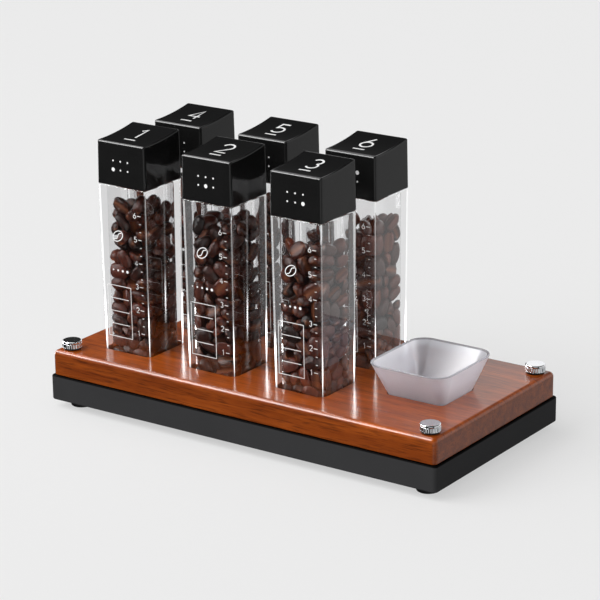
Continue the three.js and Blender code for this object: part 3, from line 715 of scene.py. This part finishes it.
jar_middles = {}
for number in JARS:
    low, high = span(f"jar_{number}")
    side = high[0] - low[0]
    foot_side = side - 2 * JAR_LEAN
    shoulder = low[2] + JAR_BODY_HEIGHT
    groove_top = high[2] - GROOVE_DROP
    groove_foot = groove_top - GROOVE_HEIGHT
    jar_middles[number] = middle = (low + high) / 2
    foot_edge = lower_edge(JAR_EDGE, low[2], 3)
    groove = [(0, groove_foot), (GROOVE_DEPTH, groove_foot), (GROOVE_DEPTH, groove_top), (0, groove_top)]
    mouth = [(-BORE_MOUTH_EDGE, high[2]), (0, high[2] - BORE_MOUTH_EDGE)]
    bore_floor = [(inset, low[2] + JAR_FLOOR + rise) for inset, rise in rounding(BORE_FLOOR_EDGE, 0, 90)]
    levels = inset_levels((foot_side, foot_side), JAR_CORNER, foot_edge)
    levels += inset_levels((side, side), JAR_CORNER, upper_edge(JAR_EDGE, shoulder, 3))
    levels += inset_levels(NECK, NECK_CORNER, [(0, shoulder)] + groove + upper_edge(NECK_EDGE, high[2], 2))
    levels += inset_levels(BORE, BORE_CORNER, mouth + bore_floor)
    shape = skin(stacked(levels, middle, ARC, JAR_LINES))
    made = add_piece(f"clear_jar_{number}", shape, clear, f"jar_{number}", [f"jar_{number}"])

    finishes = np.zeros(len(shape[1]), np.int32)
    rows = finishes[:-2].reshape(len(levels) - 1, 4, -1)
    wall = len(foot_edge) - 1
    rows[wall + 1:] = INSIDE
    finishes[-1] = INSIDE
    # Two corners of each jar's wall take the grey tint: painted shade that draws its outline.
    rows[wall][[RIGHT_REAR, LEFT_FRONT], :ARC - 1] = SHADED_OUTLINE
    # Faces that carry the painted glow lines, and the strength of each.
    glow = np.zeros(len(finishes))
    lines = glow[:-2].reshape(rows.shape)[wall]
    lines[LEFT_FRONT, ARC - 1:ARC + 1] = 1
    lines[RIGHT_FRONT, ARC + 2] = 1
    lines[RIGHT_REAR, :2] = 1
    lines[[LEFT_REAR, RIGHT_FRONT], ARC // 2] = 0.5, 0.8
    finishes[glow > 0] = GLOWING
    give_finishes(made, (painted_glow_finish, clear_inside, shaded_outline_plastic), finishes)
    give_values(made, "glow", "FACE", glow)

# Beans: a charge of roasted coffee poured into each jar. Each bean is domed on one side and flat on the
# other, with a crease down its flat side, and they lie as they fell.

# Roasted coffee: brown to near black from bean to bean, with an oily sheen, fine wrinkles, and paler skin
# left in the crease.
roast, tree, place = new_finish("roasted_coffee")
shade = add_node(tree, "ShaderNodeAttribute", {"attribute_name": "roast"}, {})
seam = add_node(tree, "ShaderNodeAttribute", {"attribute_name": "seam"}, {})
wrinkle = add_node(tree, "ShaderNodeTexNoise", {}, {
    "Vector": place, "Scale": 1 / (1.6 * MM), "Detail": 4.0,
}).outputs[0]
tone = laid_over(tree, linear("#120805"), "#622715", shade.outputs["Fac"], 0.0, 1.0)
mottled = laid_over(tree, tone, "#0c0503", wrinkle, 0.4, 0.7, most=0.5)
relief = add_node(tree, "ShaderNodeBump", {}, {"Strength": 0.8, "Distance": 0.4 * MM, "Height": wrinkle})
surfaced(tree, {
    "Base Color": laid_over(tree, mottled, "#6b3b20", seam.outputs["Fac"], 0.0, 1.0),
    "Roughness": 0.36,
    "Specular IOR Level": 0.3,
    "Coat Weight": 0.8,
    "Coat Roughness": 0.16,
    "Normal": relief.outputs[0],
})

BEAN_LENGTH = 14.0
BEAN_WIDTH = 10.8
BEAN_THICKNESS = 7.8
BEAN_BLUNTNESS = 0.75  # power of the sine that the girth follows from tip to tip
DOME_SHARE, FLAT_SHARE = 0.66, 0.34  # of the thickness, over and under the widest line
CREASE_REACH = 0.16  # to either side, as a share of the width
CREASE_DEPTH = 0.22  # as a share of the thickness
BEAN_BALL_RADIUS = 4.05
BEAN_BALL_STEP = 2.8
BEAN_STEPS_ROUND = 12
BEAN_STEPS_ALONG = 7
BEAN_SIZES = (0.9, 1.06)
BEAN_GAP = 0.12  # a bean's skin to the wall of the bore
BEANS_PER_MM = 1.1  # of the height of the charge
POUR_HEIGHT = 1.25  # from which they fall, as a share of the height of the charge
SETTLING_STEPS = 240
STEPS_PER_SEARCH = 8  # for neighbours
SINKING = 0.22  # at the first step
GIVING_WAY, TURNING = 0.55, 0.6  # shares of each push that move and that turn a bean


def settled_beans(draw, count, half, height):
    """Beans poured into a square well, each as three balls in a row. At each step all sink a little, then
    balls that overlap part along the line between them, and balls outside a wall or the floor come back
    inside: a bean moves by the sum of its balls' shifts and turns by the difference between its two
    ends."""
    reach = half - BEAN_BALL_RADIUS
    middles = draw.uniform(-reach, reach, (count, 3))
    middles[:, 2] = BEAN_BALL_RADIUS + np.sort(draw.uniform(0, POUR_HEIGHT * height, count))
    axes = draw.normal(size=(count, 3))
    axes /= np.linalg.norm(axes, axis=1, keepdims=True)
    steps = np.array([-BEAN_BALL_STEP, 0, BEAN_BALL_STEP])
    near = 2 * (BEAN_BALL_RADIUS + BEAN_BALL_STEP) + 2
    pairs = np.arange(3)
    for step in range(SETTLING_STEPS):
        if step % STEPS_PER_SEARCH == 0:
            apart = ((middles[:, None] - middles) ** 2).sum(axis=-1)
            one, other = np.nonzero(np.triu(apart < near ** 2, 1))
            first = (one[:, None] * 3 + np.repeat(pairs, 3)).ravel()
            second = (other[:, None] * 3 + np.tile(pairs, 3)).ravel()
        middles[:, 2] -= SINKING * (1 - step / SETTLING_STEPS) ** 0.5
        balls = (middles[:, None] + axes[:, None] * steps[:, None]).reshape(-1, 3)
        between = balls[first] - balls[second]
        distance = np.linalg.norm(between, axis=1) + 1e-9
        overlap = np.clip(2 * BEAN_BALL_RADIUS - distance, 0, None)
        shift = between * (overlap / distance / 2)[:, None]
        size = len(balls)
        push = np.stack([np.bincount(first, part, size) - np.bincount(second, part, size)
                         for part in shift.T], 1)
        touching = np.bincount(first, overlap > 0, size) + np.bincount(second, overlap > 0, size)
        inside = np.clip(balls, (-reach, -reach, BEAN_BALL_RADIUS), (reach, reach, np.inf))
        push = (push / np.maximum(1, touching / 2)[:, None] + inside - balls).reshape(-1, 3, 3)
        middles += GIVING_WAY * push.sum(axis=1)
        axes += TURNING * (push[:, 2] - push[:, 0]) / (2 * BEAN_BALL_STEP)
        axes /= np.linalg.norm(axes, axis=1, keepdims=True)
    return middles, axes


def bean_shape():
    """A bean along x, as rings of points from tip to tip. Its girth follows the sine of the way along, the
    dome is the upper half of an ellipse, the flat side is the lower half pressed to a third, and the crease
    lifts the middle of the flat side back in."""
    along = np.linspace(0, np.pi, BEAN_STEPS_ALONG + 2)[1:-1, None]
    turns = np.linspace(0, 2 * np.pi, BEAN_STEPS_ROUND, endpoint=False)
    girth = np.sin(along) ** BEAN_BLUNTNESS
    x = -BEAN_LENGTH / 2 * np.cos(along) * np.ones_like(turns)
    y = BEAN_WIDTH / 2 * girth * np.cos(turns)
    dome = np.sin(turns)
    z = BEAN_THICKNESS * girth * np.where(dome > 0, DOME_SHARE * dome, FLAT_SHARE * dome)
    seam = np.clip(1 - np.abs(y) / (CREASE_REACH * BEAN_WIDTH), 0, 1) * (dome < -0.5)
    z = z + seam * girth * CREASE_DEPTH * BEAN_THICKNESS
    return np.stack([x, y, z], axis=-1), seam


def kept_in_bore(points, height):
    """Points brought inside the bore: each is held between the walls, the floor and the top of the charge,
    and in a corner it is drawn towards the centre of the corner's round until it is within its radius."""
    reach = BORE_SIDE / 2 - BEAN_GAP
    core = BORE_SIDE / 2 - BORE_CORNER
    flat = np.clip(points[..., :2], -reach, reach)
    beyond = np.clip(np.abs(flat) - core, 0, None)
    stretch = np.linalg.norm(beyond, axis=-1, keepdims=True)
    drawn = beyond * np.minimum(1, (BORE_CORNER - BEAN_GAP) / np.maximum(stretch, 1e-6))
    flat = np.sign(flat) * (np.clip(np.abs(flat), None, core) + drawn)
    return np.concatenate([flat, np.clip(points[..., 2:], BEAN_GAP, height)], axis=-1)


bean_rings, bean_seam = bean_shape()
bean_points, bean_faces = skin(bean_rings)

for number in JARS:
    low, high = span(f"bean_charge_{number}")
    draw = np.random.default_rng(700 + number)
    height = high[2] - low[2]
    places, axes = settled_beans(draw, int(BEANS_PER_MM * height), BORE_SIDE / 2, height)
    kept = places[:, 2] + np.abs(axes[:, 2]) * BEAN_BALL_STEP < height - BEAN_BALL_RADIUS
    places, axes, count = places[kept], axes[kept], kept.sum()
    sides = np.cross(axes, draw.normal(size=(count, 3)))
    sides /= np.linalg.norm(sides, axis=1, keepdims=True)
    turns = np.stack([axes, sides, np.cross(axes, sides)], axis=-1)
    sizes = draw.uniform(*BEAN_SIZES, (count, 1, 1))
    points = np.einsum("bij,pj->bpi", turns, bean_points) * sizes + places[:, None]
    points = kept_in_bore(points, height) + np.array([*jar_middles[number][:2], low[2]])
    offsets = np.arange(count) * len(bean_points)
    faces = [[k + int(offset) for k in face] for offset in offsets for face in bean_faces]
    charge = add_piece(f"coffee_beans_{number}", (points.reshape(-1, 3), faces), roast, f"jar_{number}",
                       [f"bean_charge_{number}"], crease=60)
    give_values(charge, "roast", "POINT", np.repeat(draw.beta(1.6, 2.4, count), len(bean_points)))
    give_values(charge, "seam", "POINT", np.tile(bean_seam.ravel(), count))

# Seals: a soft silicone ring round each neck, moulded in one piece and stretched into the groove. Its rounded
# lip grips the skirt of the lid.

# Silicone rubber: milky and translucent, with a dull waxy skin.
silicone, tree, place = new_finish("milky_silicone")
_, tone = mottle(tree, place, 4, "#cfd1d2", "#e3e5e6")
surfaced(tree, {"Base Color": tone, "Roughness": 0.5, "Transmission Weight": 0.3})

SEAL_LIP = 0.6
SEAL_SLACK = 0.15  # between the ring and the bottom of the groove
SEAL_CORNER = NECK_CORNER + 0.2
SEAL_INNER_CORNER = NECK_CORNER - GROOVE_DEPTH + SEAL_SLACK

for number in JARS:
    low, high = span(f"neck_seal_{number}")
    outer = high[0] - low[0]
    inner = NECK_SIDE - 2 * GROOVE_DEPTH + 2 * SEAL_SLACK
    lip = [(SEAL_LIP, low[2]), (SEAL_LIP / 3, low[2] + SEAL_LIP / 2), (0, (low[2] + high[2]) / 2),
           (SEAL_LIP / 3, high[2] - SEAL_LIP / 2), (SEAL_LIP, high[2])]
    levels = inset_levels((inner, inner), SEAL_INNER_CORNER, [(0, high[2]), (0, low[2])])
    levels += inset_levels((outer, outer), SEAL_CORNER, lip)
    shape = skin(stacked(levels, (low + high) / 2, ARC), closed=True)
    add_piece(f"silicone_seal_{number}", shape, silicone, f"jar_{number}",
              [f"neck_seal_{number}"])

# Lids: deep square caps of black moulded plastic that slip over the necks. The top rises to the rear and is
# hollowed from front to rear for the thumb, with a rounded front edge.

# Black ABS, moulded in a polished tool: deep black, and glossy enough to mirror what stands beside it.
black, tree, place = new_finish("black_polished_abs")
flow, tone = mottle(tree, place, 14, "#131313", "#1a1a1a", Detail=3.0)
dull = add_node(tree, "ShaderNodeMapRange", {}, {"Value": flow, "To Min": 0.06, "To Max": 0.1})
surfaced(tree, {"Base Color": tone, "Roughness": dull.outputs[0], "Specular IOR Level": 0.4})

# The same ABS on the top, where the tool was spark-eroded: black and dull, with a fine even grain.
grained, tree, place = new_finish("black_grained_abs")
grain, tone = mottle(tree, place, 0.4, "#070707", "#111112")
relief = add_node(tree, "ShaderNodeBump", {}, {"Strength": 0.1, "Distance": 0.05 * MM, "Height": grain})
surfaced(tree, {
    "Base Color": tone, "Roughness": 0.5, "Specular IOR Level": 0.02, "Normal": relief.outputs[0],
})

low, high = span("lid_1")
LID_SIDE = high[0] - low[0]
LID_FRONT_HEIGHT = 27.0
LID_REAR_HEIGHT = 30.6
LID_HOLLOW = 0.9
LID_LEAN = 0.33  # of each wall, inwards from the lower edge to the upper one
LID_CORNER = 1.5
LID_FRONT_EDGE = 1.6
LID_SIDE_EDGE = 0.8
LID_EDGE_STEPS = 6
LID_SKIRT_EDGE = 0.4
LID_INSIDE = 32.7
LID_INSIDE_CORNER = 2.95
LID_CEILING = 24.1
LID_CEILING_EDGE = 0.5
LID_SHARES = np.linspace(0, 1, 11)[1:-1]
LID_TOP_SHARES = (0.97, 0.9, 0.75, 0.6, 0.45, 0.3, 0.15, 0.02)  # of the way out from the middle of the top


def lid_top(y):
    """Height of a lid's top over its skirt, y behind its middle: a parabola from the front height to the rear
    height, whose middle hangs below the straight line between them by the depth of the hollow."""
    half = LID_SIDE / 2 - LID_FRONT_EDGE
    share = (y + half) / (2 * half)
    straight = LID_FRONT_HEIGHT + (LID_REAR_HEIGHT - LID_FRONT_HEIGHT) * share
    return np.minimum(straight - 4 * LID_HOLLOW * share * (1 - share), LID_REAR_HEIGHT)


def lid_skin():
    """The skin of a lid: from the middle of its ceiling down the inside of the skirt, round the lower edge
    and up the outside. Then the upper edge is a quarter round, wider in front and behind than at the sides,
    let down from the hollowed top, and the top closes in towards its middle."""
    inner = [(0.05, LID_CEILING), (0.97, LID_CEILING),
             (1, LID_CEILING - LID_CEILING_EDGE), (1, LID_SKIRT_EDGE)]
    levels = [(LID_INSIDE * s, LID_INSIDE * s, LID_INSIDE_CORNER * s, z) for s, z in inner]
    mouth = LID_INSIDE + LID_SKIRT_EDGE
    levels += [(mouth, mouth, LID_INSIDE_CORNER + LID_SKIRT_EDGE / 2, 0)]
    levels += inset_levels((LID_SIDE, LID_SIDE), LID_CORNER, lower_edge(LID_SKIRT_EDGE, 0, 2))
    rings = list(stacked(levels, (0, 0), ARC, LID_SHARES))
    upper_side = LID_SIDE - 2 * LID_LEAN
    for angle in np.radians(np.linspace(0, 90, LID_EDGE_STEPS + 1)):
        bend = 1 - math.cos(angle)
        width = upper_side - 2 * LID_SIDE_EDGE * bend
        depth = upper_side - 2 * LID_FRONT_EDGE * bend
        outline = rounded_outline(width, depth, LID_CORNER - LID_SIDE_EDGE * bend, ARC, LID_SHARES)
        ahead = np.roll(outline, -1, axis=0) - np.roll(outline, 1, axis=0)
        facing_front = ahead[:, 0] ** 2 / (ahead ** 2).sum(axis=1)
        edge = LID_SIDE_EDGE + (LID_FRONT_EDGE - LID_SIDE_EDGE) * facing_front
        rings.append(np.column_stack([outline, lid_top(outline[:, 1]) - edge * (1 - math.sin(angle))]))
    for share in LID_TOP_SHARES:
        rings.append(np.column_stack([outline * share, lid_top(outline[:, 1] * share)]))
    return np.array(rings)


lid_rings = lid_skin()
for number in JARS:
    low, high = span(f"lid_{number}")
    middle = (low + high) / 2
    shape = skin(lid_rings + np.array([middle[0], middle[1], low[2]]))
    made = add_piece(f"black_lid_{number}", shape, black, f"lid_{number}", [f"lid_{number}"])
    finishes = np.zeros(len(shape[1]), np.int32)
    finishes[-2 - (len(LID_TOP_SHARES) - 1) * lid_rings.shape[1]:] = 1
    finishes[-2] = 0  # the cap of the ceiling
    give_finishes(made, [grained], finishes)

# Printed marks: white screen ink on the lids and the jars. Each lid has its place number, and a plan of the
# six places with its own one larger. Each jar has a level gauge with plain numbers, a bean, five dots and a
# write-on panel.

# Screen ink: opaque white with a dull even skin, a little thin in places.
ink, tree, place = new_finish("white_screen_ink")
_, tone = mottle(tree, place, 0.8, "#dcdcdc", "#fafafa")
surfaced(tree, {"Base Color": tone, "Roughness": 0.55, "Specular IOR Level": 0.2})

INK_FOOT = 0.01  # lower face of the ink, over the face that carries it
INK_TOP = 0.08
SHARPEST_TURN = 0.7  # at which a line still keeps its width


def stroke(path, width):
    """A line of ink along a path of flat points: at each point, half the width to either side of the path's
    mean direction there, stretched where the path turns so that the line keeps its width."""
    path = np.array(path, float)
    steps = np.diff(path, axis=0)
    steps /= np.linalg.norm(steps, axis=1, keepdims=True)
    sides = np.column_stack([-steps[:, 1], steps[:, 0]])
    before = np.vstack([sides[:1], sides])
    after = np.vstack([sides, sides[-1:]])
    mean = before + after
    mean /= np.maximum((mean * after).sum(axis=1, keepdims=True), SHARPEST_TURN)
    left, right = path + mean * width / 2, path - mean * width / 2
    rings = [np.column_stack([edge, np.full(len(path), height)])
             for edge, height in ((right, INK_FOOT), (left, INK_FOOT), (left, INK_TOP), (right, INK_TOP))]
    return skin(np.stack(rings, axis=1))


def dot(across, rise, diameter, steps=20):
    """A round spot of ink: a circle at the lower and at the upper face of the ink."""
    turns = np.linspace(0, 2 * np.pi, steps, endpoint=False)
    circle = np.column_stack([across + diameter / 2 * np.cos(turns), rise + diameter / 2 * np.sin(turns)])
    rings = [np.column_stack([circle, np.full(steps, height)]) for height in (INK_FOOT, INK_TOP)]
    return skin(np.array(rings))


def arc(x, y, radius, start, stop, steps=12):
    """Points of a circle about (x, y), from the start angle to the stop angle in degrees."""
    angle = np.radians(np.linspace(start, stop, steps + 1))
    return np.column_stack([x + radius * np.cos(angle), y + radius * np.sin(angle)]).tolist()


# Plain figures as single lines in a box one unit high.
FIGURES = {
    1: [(0.14, 0.82), (0.36, 1.0), (0.36, 0.0)],
    2: arc(0.29, 0.71, 0.29, 165, -38) + [(0.02, 0.0), (0.6, 0.0)],
    3: arc(0.28, 0.75, 0.25, 150, -70) + arc(0.28, 0.27, 0.27, 75, -150),
    4: [(0.46, 0.0), (0.46, 1.0), (0.0, 0.3), (0.62, 0.3)],
    5: [(0.52, 1.0), (0.1, 1.0), (0.06, 0.55)] + arc(0.27, 0.31, 0.31, 128, -145),
    6: [(0.42, 1.0)] + arc(0.3, 0.3, 0.3, 148, 500, 20),
}
FIGURE_MIDDLE = (0.3, 0.5)


def figure(number, across, rise, height, width):
    """A plain figure centred on a point, as a line of ink."""
    return stroke((np.array(FIGURES[number]) - FIGURE_MIDDLE) * height + (across, rise), width)


PLACE_HEIGHT = 13.0
PLACE_STROKE = 1.3
PLACE_SHIFT = 2.6  # behind the middle of the lid
UNDERLINE = [(-4, -8.4), (4, -8.4)]
PLAN_PITCH = 5.5
PLAN_DOT = 1.1
PLAN_OWN_DOT = 2.4
PLAN_MIDDLE = 13.0  # over the lower edge of the lid
FINE_STROKE = 0.34
GAUGE_LEVELS = range(30, 106, 5)
GAUGE_FIGURE_STEP = 15  # between the levels that have a figure
GAUGE_EDGE = 14.2
GAUGE_LONG, GAUGE_SHORT = 2.6, 1.3
GAUGE_FIGURE_SHIFT = 4.6  # from the edge of the gauge
GAUGE_FIGURE_HEIGHT = 3.2
PANEL = (-13.5, 4.5, 25.0, 58.0)  # left, right, lower and upper edges
PANEL_GAP = 0.6  # where the line round it ends
PANEL_ROWS = 4
PANEL_RULE_INSET = 2
SCALE_DOTS = (0.8, 1.05, 1.3, 1.55, 1.8)
SCALE_LEVEL = 68.0
SCALE_INSET = 1.5  # from the left edge of the panel
SCALE_PITCH = 3.6
BEAN_MARK = (-4.0, 90.0, 4.2, 2.9)  # across, up, half its length and half its width
BEAN_MARK_TURN = np.array([[0.8, 0.6], [-0.6, 0.8]])
BEAN_MARK_STROKE = 1.5 * FINE_STROKE


def jar_marks():
    """The marks on the front of a jar, across from its middle and up from its foot. The bean is an ellipse
    with one wave of a sine along it, turned by a matrix."""
    left, right, lower, upper = PANEL
    border = [(left, upper), (left, lower), (right, lower), (right, upper), (left + PANEL_GAP, upper)]
    marks = [stroke(border, FINE_STROKE)]
    marks += [stroke([(left + PANEL_RULE_INSET, level), (right - PANEL_RULE_INSET, level)], FINE_STROKE)
              for level in np.linspace(lower, upper, PANEL_ROWS + 1)[1:-1]]
    marks += [dot(left + SCALE_INSET + SCALE_PITCH * k, SCALE_LEVEL, size, 14)
              for k, size in enumerate(SCALE_DOTS)]
    across, rise, half_length, half_width = BEAN_MARK
    ring = np.array(arc(0, 0, 1, 0, 356, 24)) * (half_length, half_width)
    crease = np.column_stack([np.linspace(-0.85, 0.85, 11) * half_length,
                              np.sin(np.linspace(-np.pi, np.pi, 11)) * half_width / 4])
    marks += [stroke(line @ BEAN_MARK_TURN + (across, rise), BEAN_MARK_STROKE) for line in (ring, crease)]
    for level in GAUGE_LEVELS:
        figured = level % GAUGE_FIGURE_STEP == 0
        reach = GAUGE_LONG if figured else GAUGE_SHORT
        marks.append(stroke([(GAUGE_EDGE - reach, level), (GAUGE_EDGE, level)], FINE_STROKE))
        if figured:
            marks.append(figure(level // GAUGE_FIGURE_STEP - 1, GAUGE_EDGE - GAUGE_FIGURE_SHIFT, level,
                                GAUGE_FIGURE_HEIGHT, FINE_STROKE))
    return joined(marks)


for number in JARS:
    own = (number - 1) % 3, (number - 1) // 3
    low, high = span(f"lid_{number}")
    middle = (low + high) / 2
    points, faces = joined([
        figure(number, 0, PLACE_SHIFT, PLACE_HEIGHT, PLACE_STROKE),
        stroke(UNDERLINE, PLACE_STROKE),
    ])
    heights = low[2] + lid_top(points[:, 1]) + points[:, 2]
    on_top = np.column_stack([middle[0] + points[:, 0], middle[1] + points[:, 1], heights]), faces
    points, faces = joined([
        dot(PLAN_PITCH * (column - 1), PLAN_MIDDLE + PLAN_PITCH * (row - 0.5),
            PLAN_OWN_DOT if (column, row) == own else PLAN_DOT)
        for column in range(3) for row in range(2)
    ])
    front = low[1] + LID_LEAN * points[:, 1] / LID_FRONT_HEIGHT - points[:, 2]
    on_front = np.column_stack([middle[0] + points[:, 0], front, low[2] + points[:, 1]]), faces
    add_piece(f"lid_print_{number}", joined([on_top, on_front]), ink, f"lid_{number}")

    low, high = span(f"jar_{number}")
    points, faces = jar_marks()
    front = low[1] + JAR_LEAN * (1 - points[:, 1] / JAR_BODY_HEIGHT) - points[:, 2]
    points = np.column_stack([jar_middles[number][0] + points[:, 0], front, low[2] + points[:, 1]])
    add_piece(f"jar_print_{number}", (points, faces), ink, f"jar_{number}")

# Dosing dish: a tapered cup of frosted plastic that hangs in the seventh window. Its corners open from
# nearly sharp at the foot to broadly round at the rim, and its front and rear lean out more than its ends.

# Frosted polypropylene, moulded in a blasted tool: milky and translucent, with a soft sheen, and painted
# darker towards the foot, as painted shade.
DISH_SHADE = (34, 48)  # heights at which the foot's shade is full and is gone

frosted, tree, place = new_finish("frosted_polypropylene")
_, tone = mottle(tree, place, 12, "#d0d1d9", "#dedfe6")
grain = add_node(tree, "ShaderNodeTexNoise", {}, {"Vector": place, "Scale": 1 / (0.7 * MM)})
level = add_node(tree, "ShaderNodeSeparateXYZ", {}, {0: place})
relief = add_node(tree, "ShaderNodeBump", {}, {
    "Strength": 0.1, "Distance": 0.1 * MM, "Height": grain.outputs[0],
})
start, stop = DISH_SHADE
surface = add_node(tree, "ShaderNodeBsdfPrincipled", {}, {
    # Darker towards the foot by height: painted shade.
    "Base Color": laid_over(tree, tone, "#5a4e4c", level.outputs["Z"], start * MM, stop * MM, 0.3, 0.0),
    "Roughness": 0.2,
    "IOR": 1.15,
    "Transmission Weight": 0.62,
    "Subsurface Weight": 0.7,
    "Subsurface Radius": (1, 1, 1),
    "Subsurface Scale": 8 * MM,
    "Coat Weight": 1.0,
    "Coat Roughness": 0.3,
    "Coat IOR": 2.3,
    "Normal": relief.outputs[0],
})
lit_through(tree, surface.outputs[0], "#d8d8da")

# The same plastic at the rim: clearer, and painted darker grey, a painted shade that draws a thin grey line.
polished, tree, place = new_finish("painted_shade_rim")
# A darker grey than the dish: painted shade at the rim.
_, tone = mottle(tree, place, 5, "#a0a1a6", "#b8b9be")
surfaced(tree, {"Base Color": tone, "Roughness": 0.15, "Transmission Weight": 0.5})

DISH_FOOT = (34.5, 27.9)
DISH_FOOT_CORNER = 2.0
DISH_LEAST_CORNER = 0.6
DISH_RIM_CORNER = 11.5
DISH_WALL = 1.6
DISH_FLOOR = 1.8
DISH_FOOT_EDGE = 1.0
DISH_INNER_EDGE = 2.0
DISH_STEPS = 10
DISH_WALL_START = 0.1  # of the way up, over the rounded foot

low, high = span("dosing_dish")
dish_rim = (high - low)[:2]
tall = high[2] - low[2]


def dish_level(share, inset, height):
    """The outline of the dish part of the way up its wall: its length, its width and its corner radius all
    grow evenly from the foot to the rim, and are then inset."""
    length, across = DISH_FOOT + (dish_rim - DISH_FOOT) * share - 2 * inset
    radius = DISH_FOOT_CORNER + (DISH_RIM_CORNER - DISH_FOOT_CORNER) * share - inset
    return length, across, max(radius, DISH_LEAST_CORNER), height


lip = DISH_WALL / 2
levels = [dish_level(d / tall, i, low[2] + d) for i, d in rounding(DISH_FOOT_EDGE, 90, 0, 3)]
levels += [dish_level(s, 0, low[2] + tall * s)
           for s in np.linspace(DISH_WALL_START, 1 - lip / tall, DISH_STEPS)]
rim_start = len(levels) - 1
levels += [dish_level(1 - d / tall, i, high[2] - d) for i, d in rounding(lip, 15, 90)]
levels += [dish_level(1 - d / tall, DISH_WALL - i, high[2] - d) for i, d in rounding(lip, 75, 0)]
rim_stop = len(levels) - 1
floor_share = (DISH_FLOOR + DISH_INNER_EDGE) / tall
levels += [dish_level(s, DISH_WALL, low[2] + tall * s)
           for s in np.linspace(1 - 2 * lip / tall, floor_share, DISH_STEPS)]
levels += [dish_level((DISH_FLOOR + d) / tall, DISH_WALL + i, low[2] + DISH_FLOOR + d)
           for i, d in rounding(DISH_INNER_EDGE, 15, 90)]
rings = stacked(levels, (low + high) / 2, arc_steps=12)
shape = skin(rings)
dish = add_piece("frosted_dish", shape, frosted, "dish", ["dosing_dish"], crease=50)
finishes = np.zeros(len(shape[1]), np.int32)
finishes[rim_start * rings.shape[1]:rim_stop * rings.shape[1]] = 1
give_finishes(dish, [polished], finishes)

# Snoot: a narrow lamp from the right, on what stands free on that side, which are the dish and the beans of
# the two jars beside it. It leaves the board and the lids as they are.
snoot = add_light("dish_snoot", "SUN", (900, 500, 450), MIDDLE, ["glossy"],
                  energy=3.4, angle=math.radians(40))
lit = bpy.data.collections.new("snoot_reach")
for piece in (dish, bpy.data.objects["coffee_beans_3"], bpy.data.objects["coffee_beans_6"]):
    lit.objects.link(piece)
snoot.light_linking.receiver_collection = lit

# Sizes of the solids and of the dressed model, side by side.
sizes = {"cad": cad_box, "visual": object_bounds()}
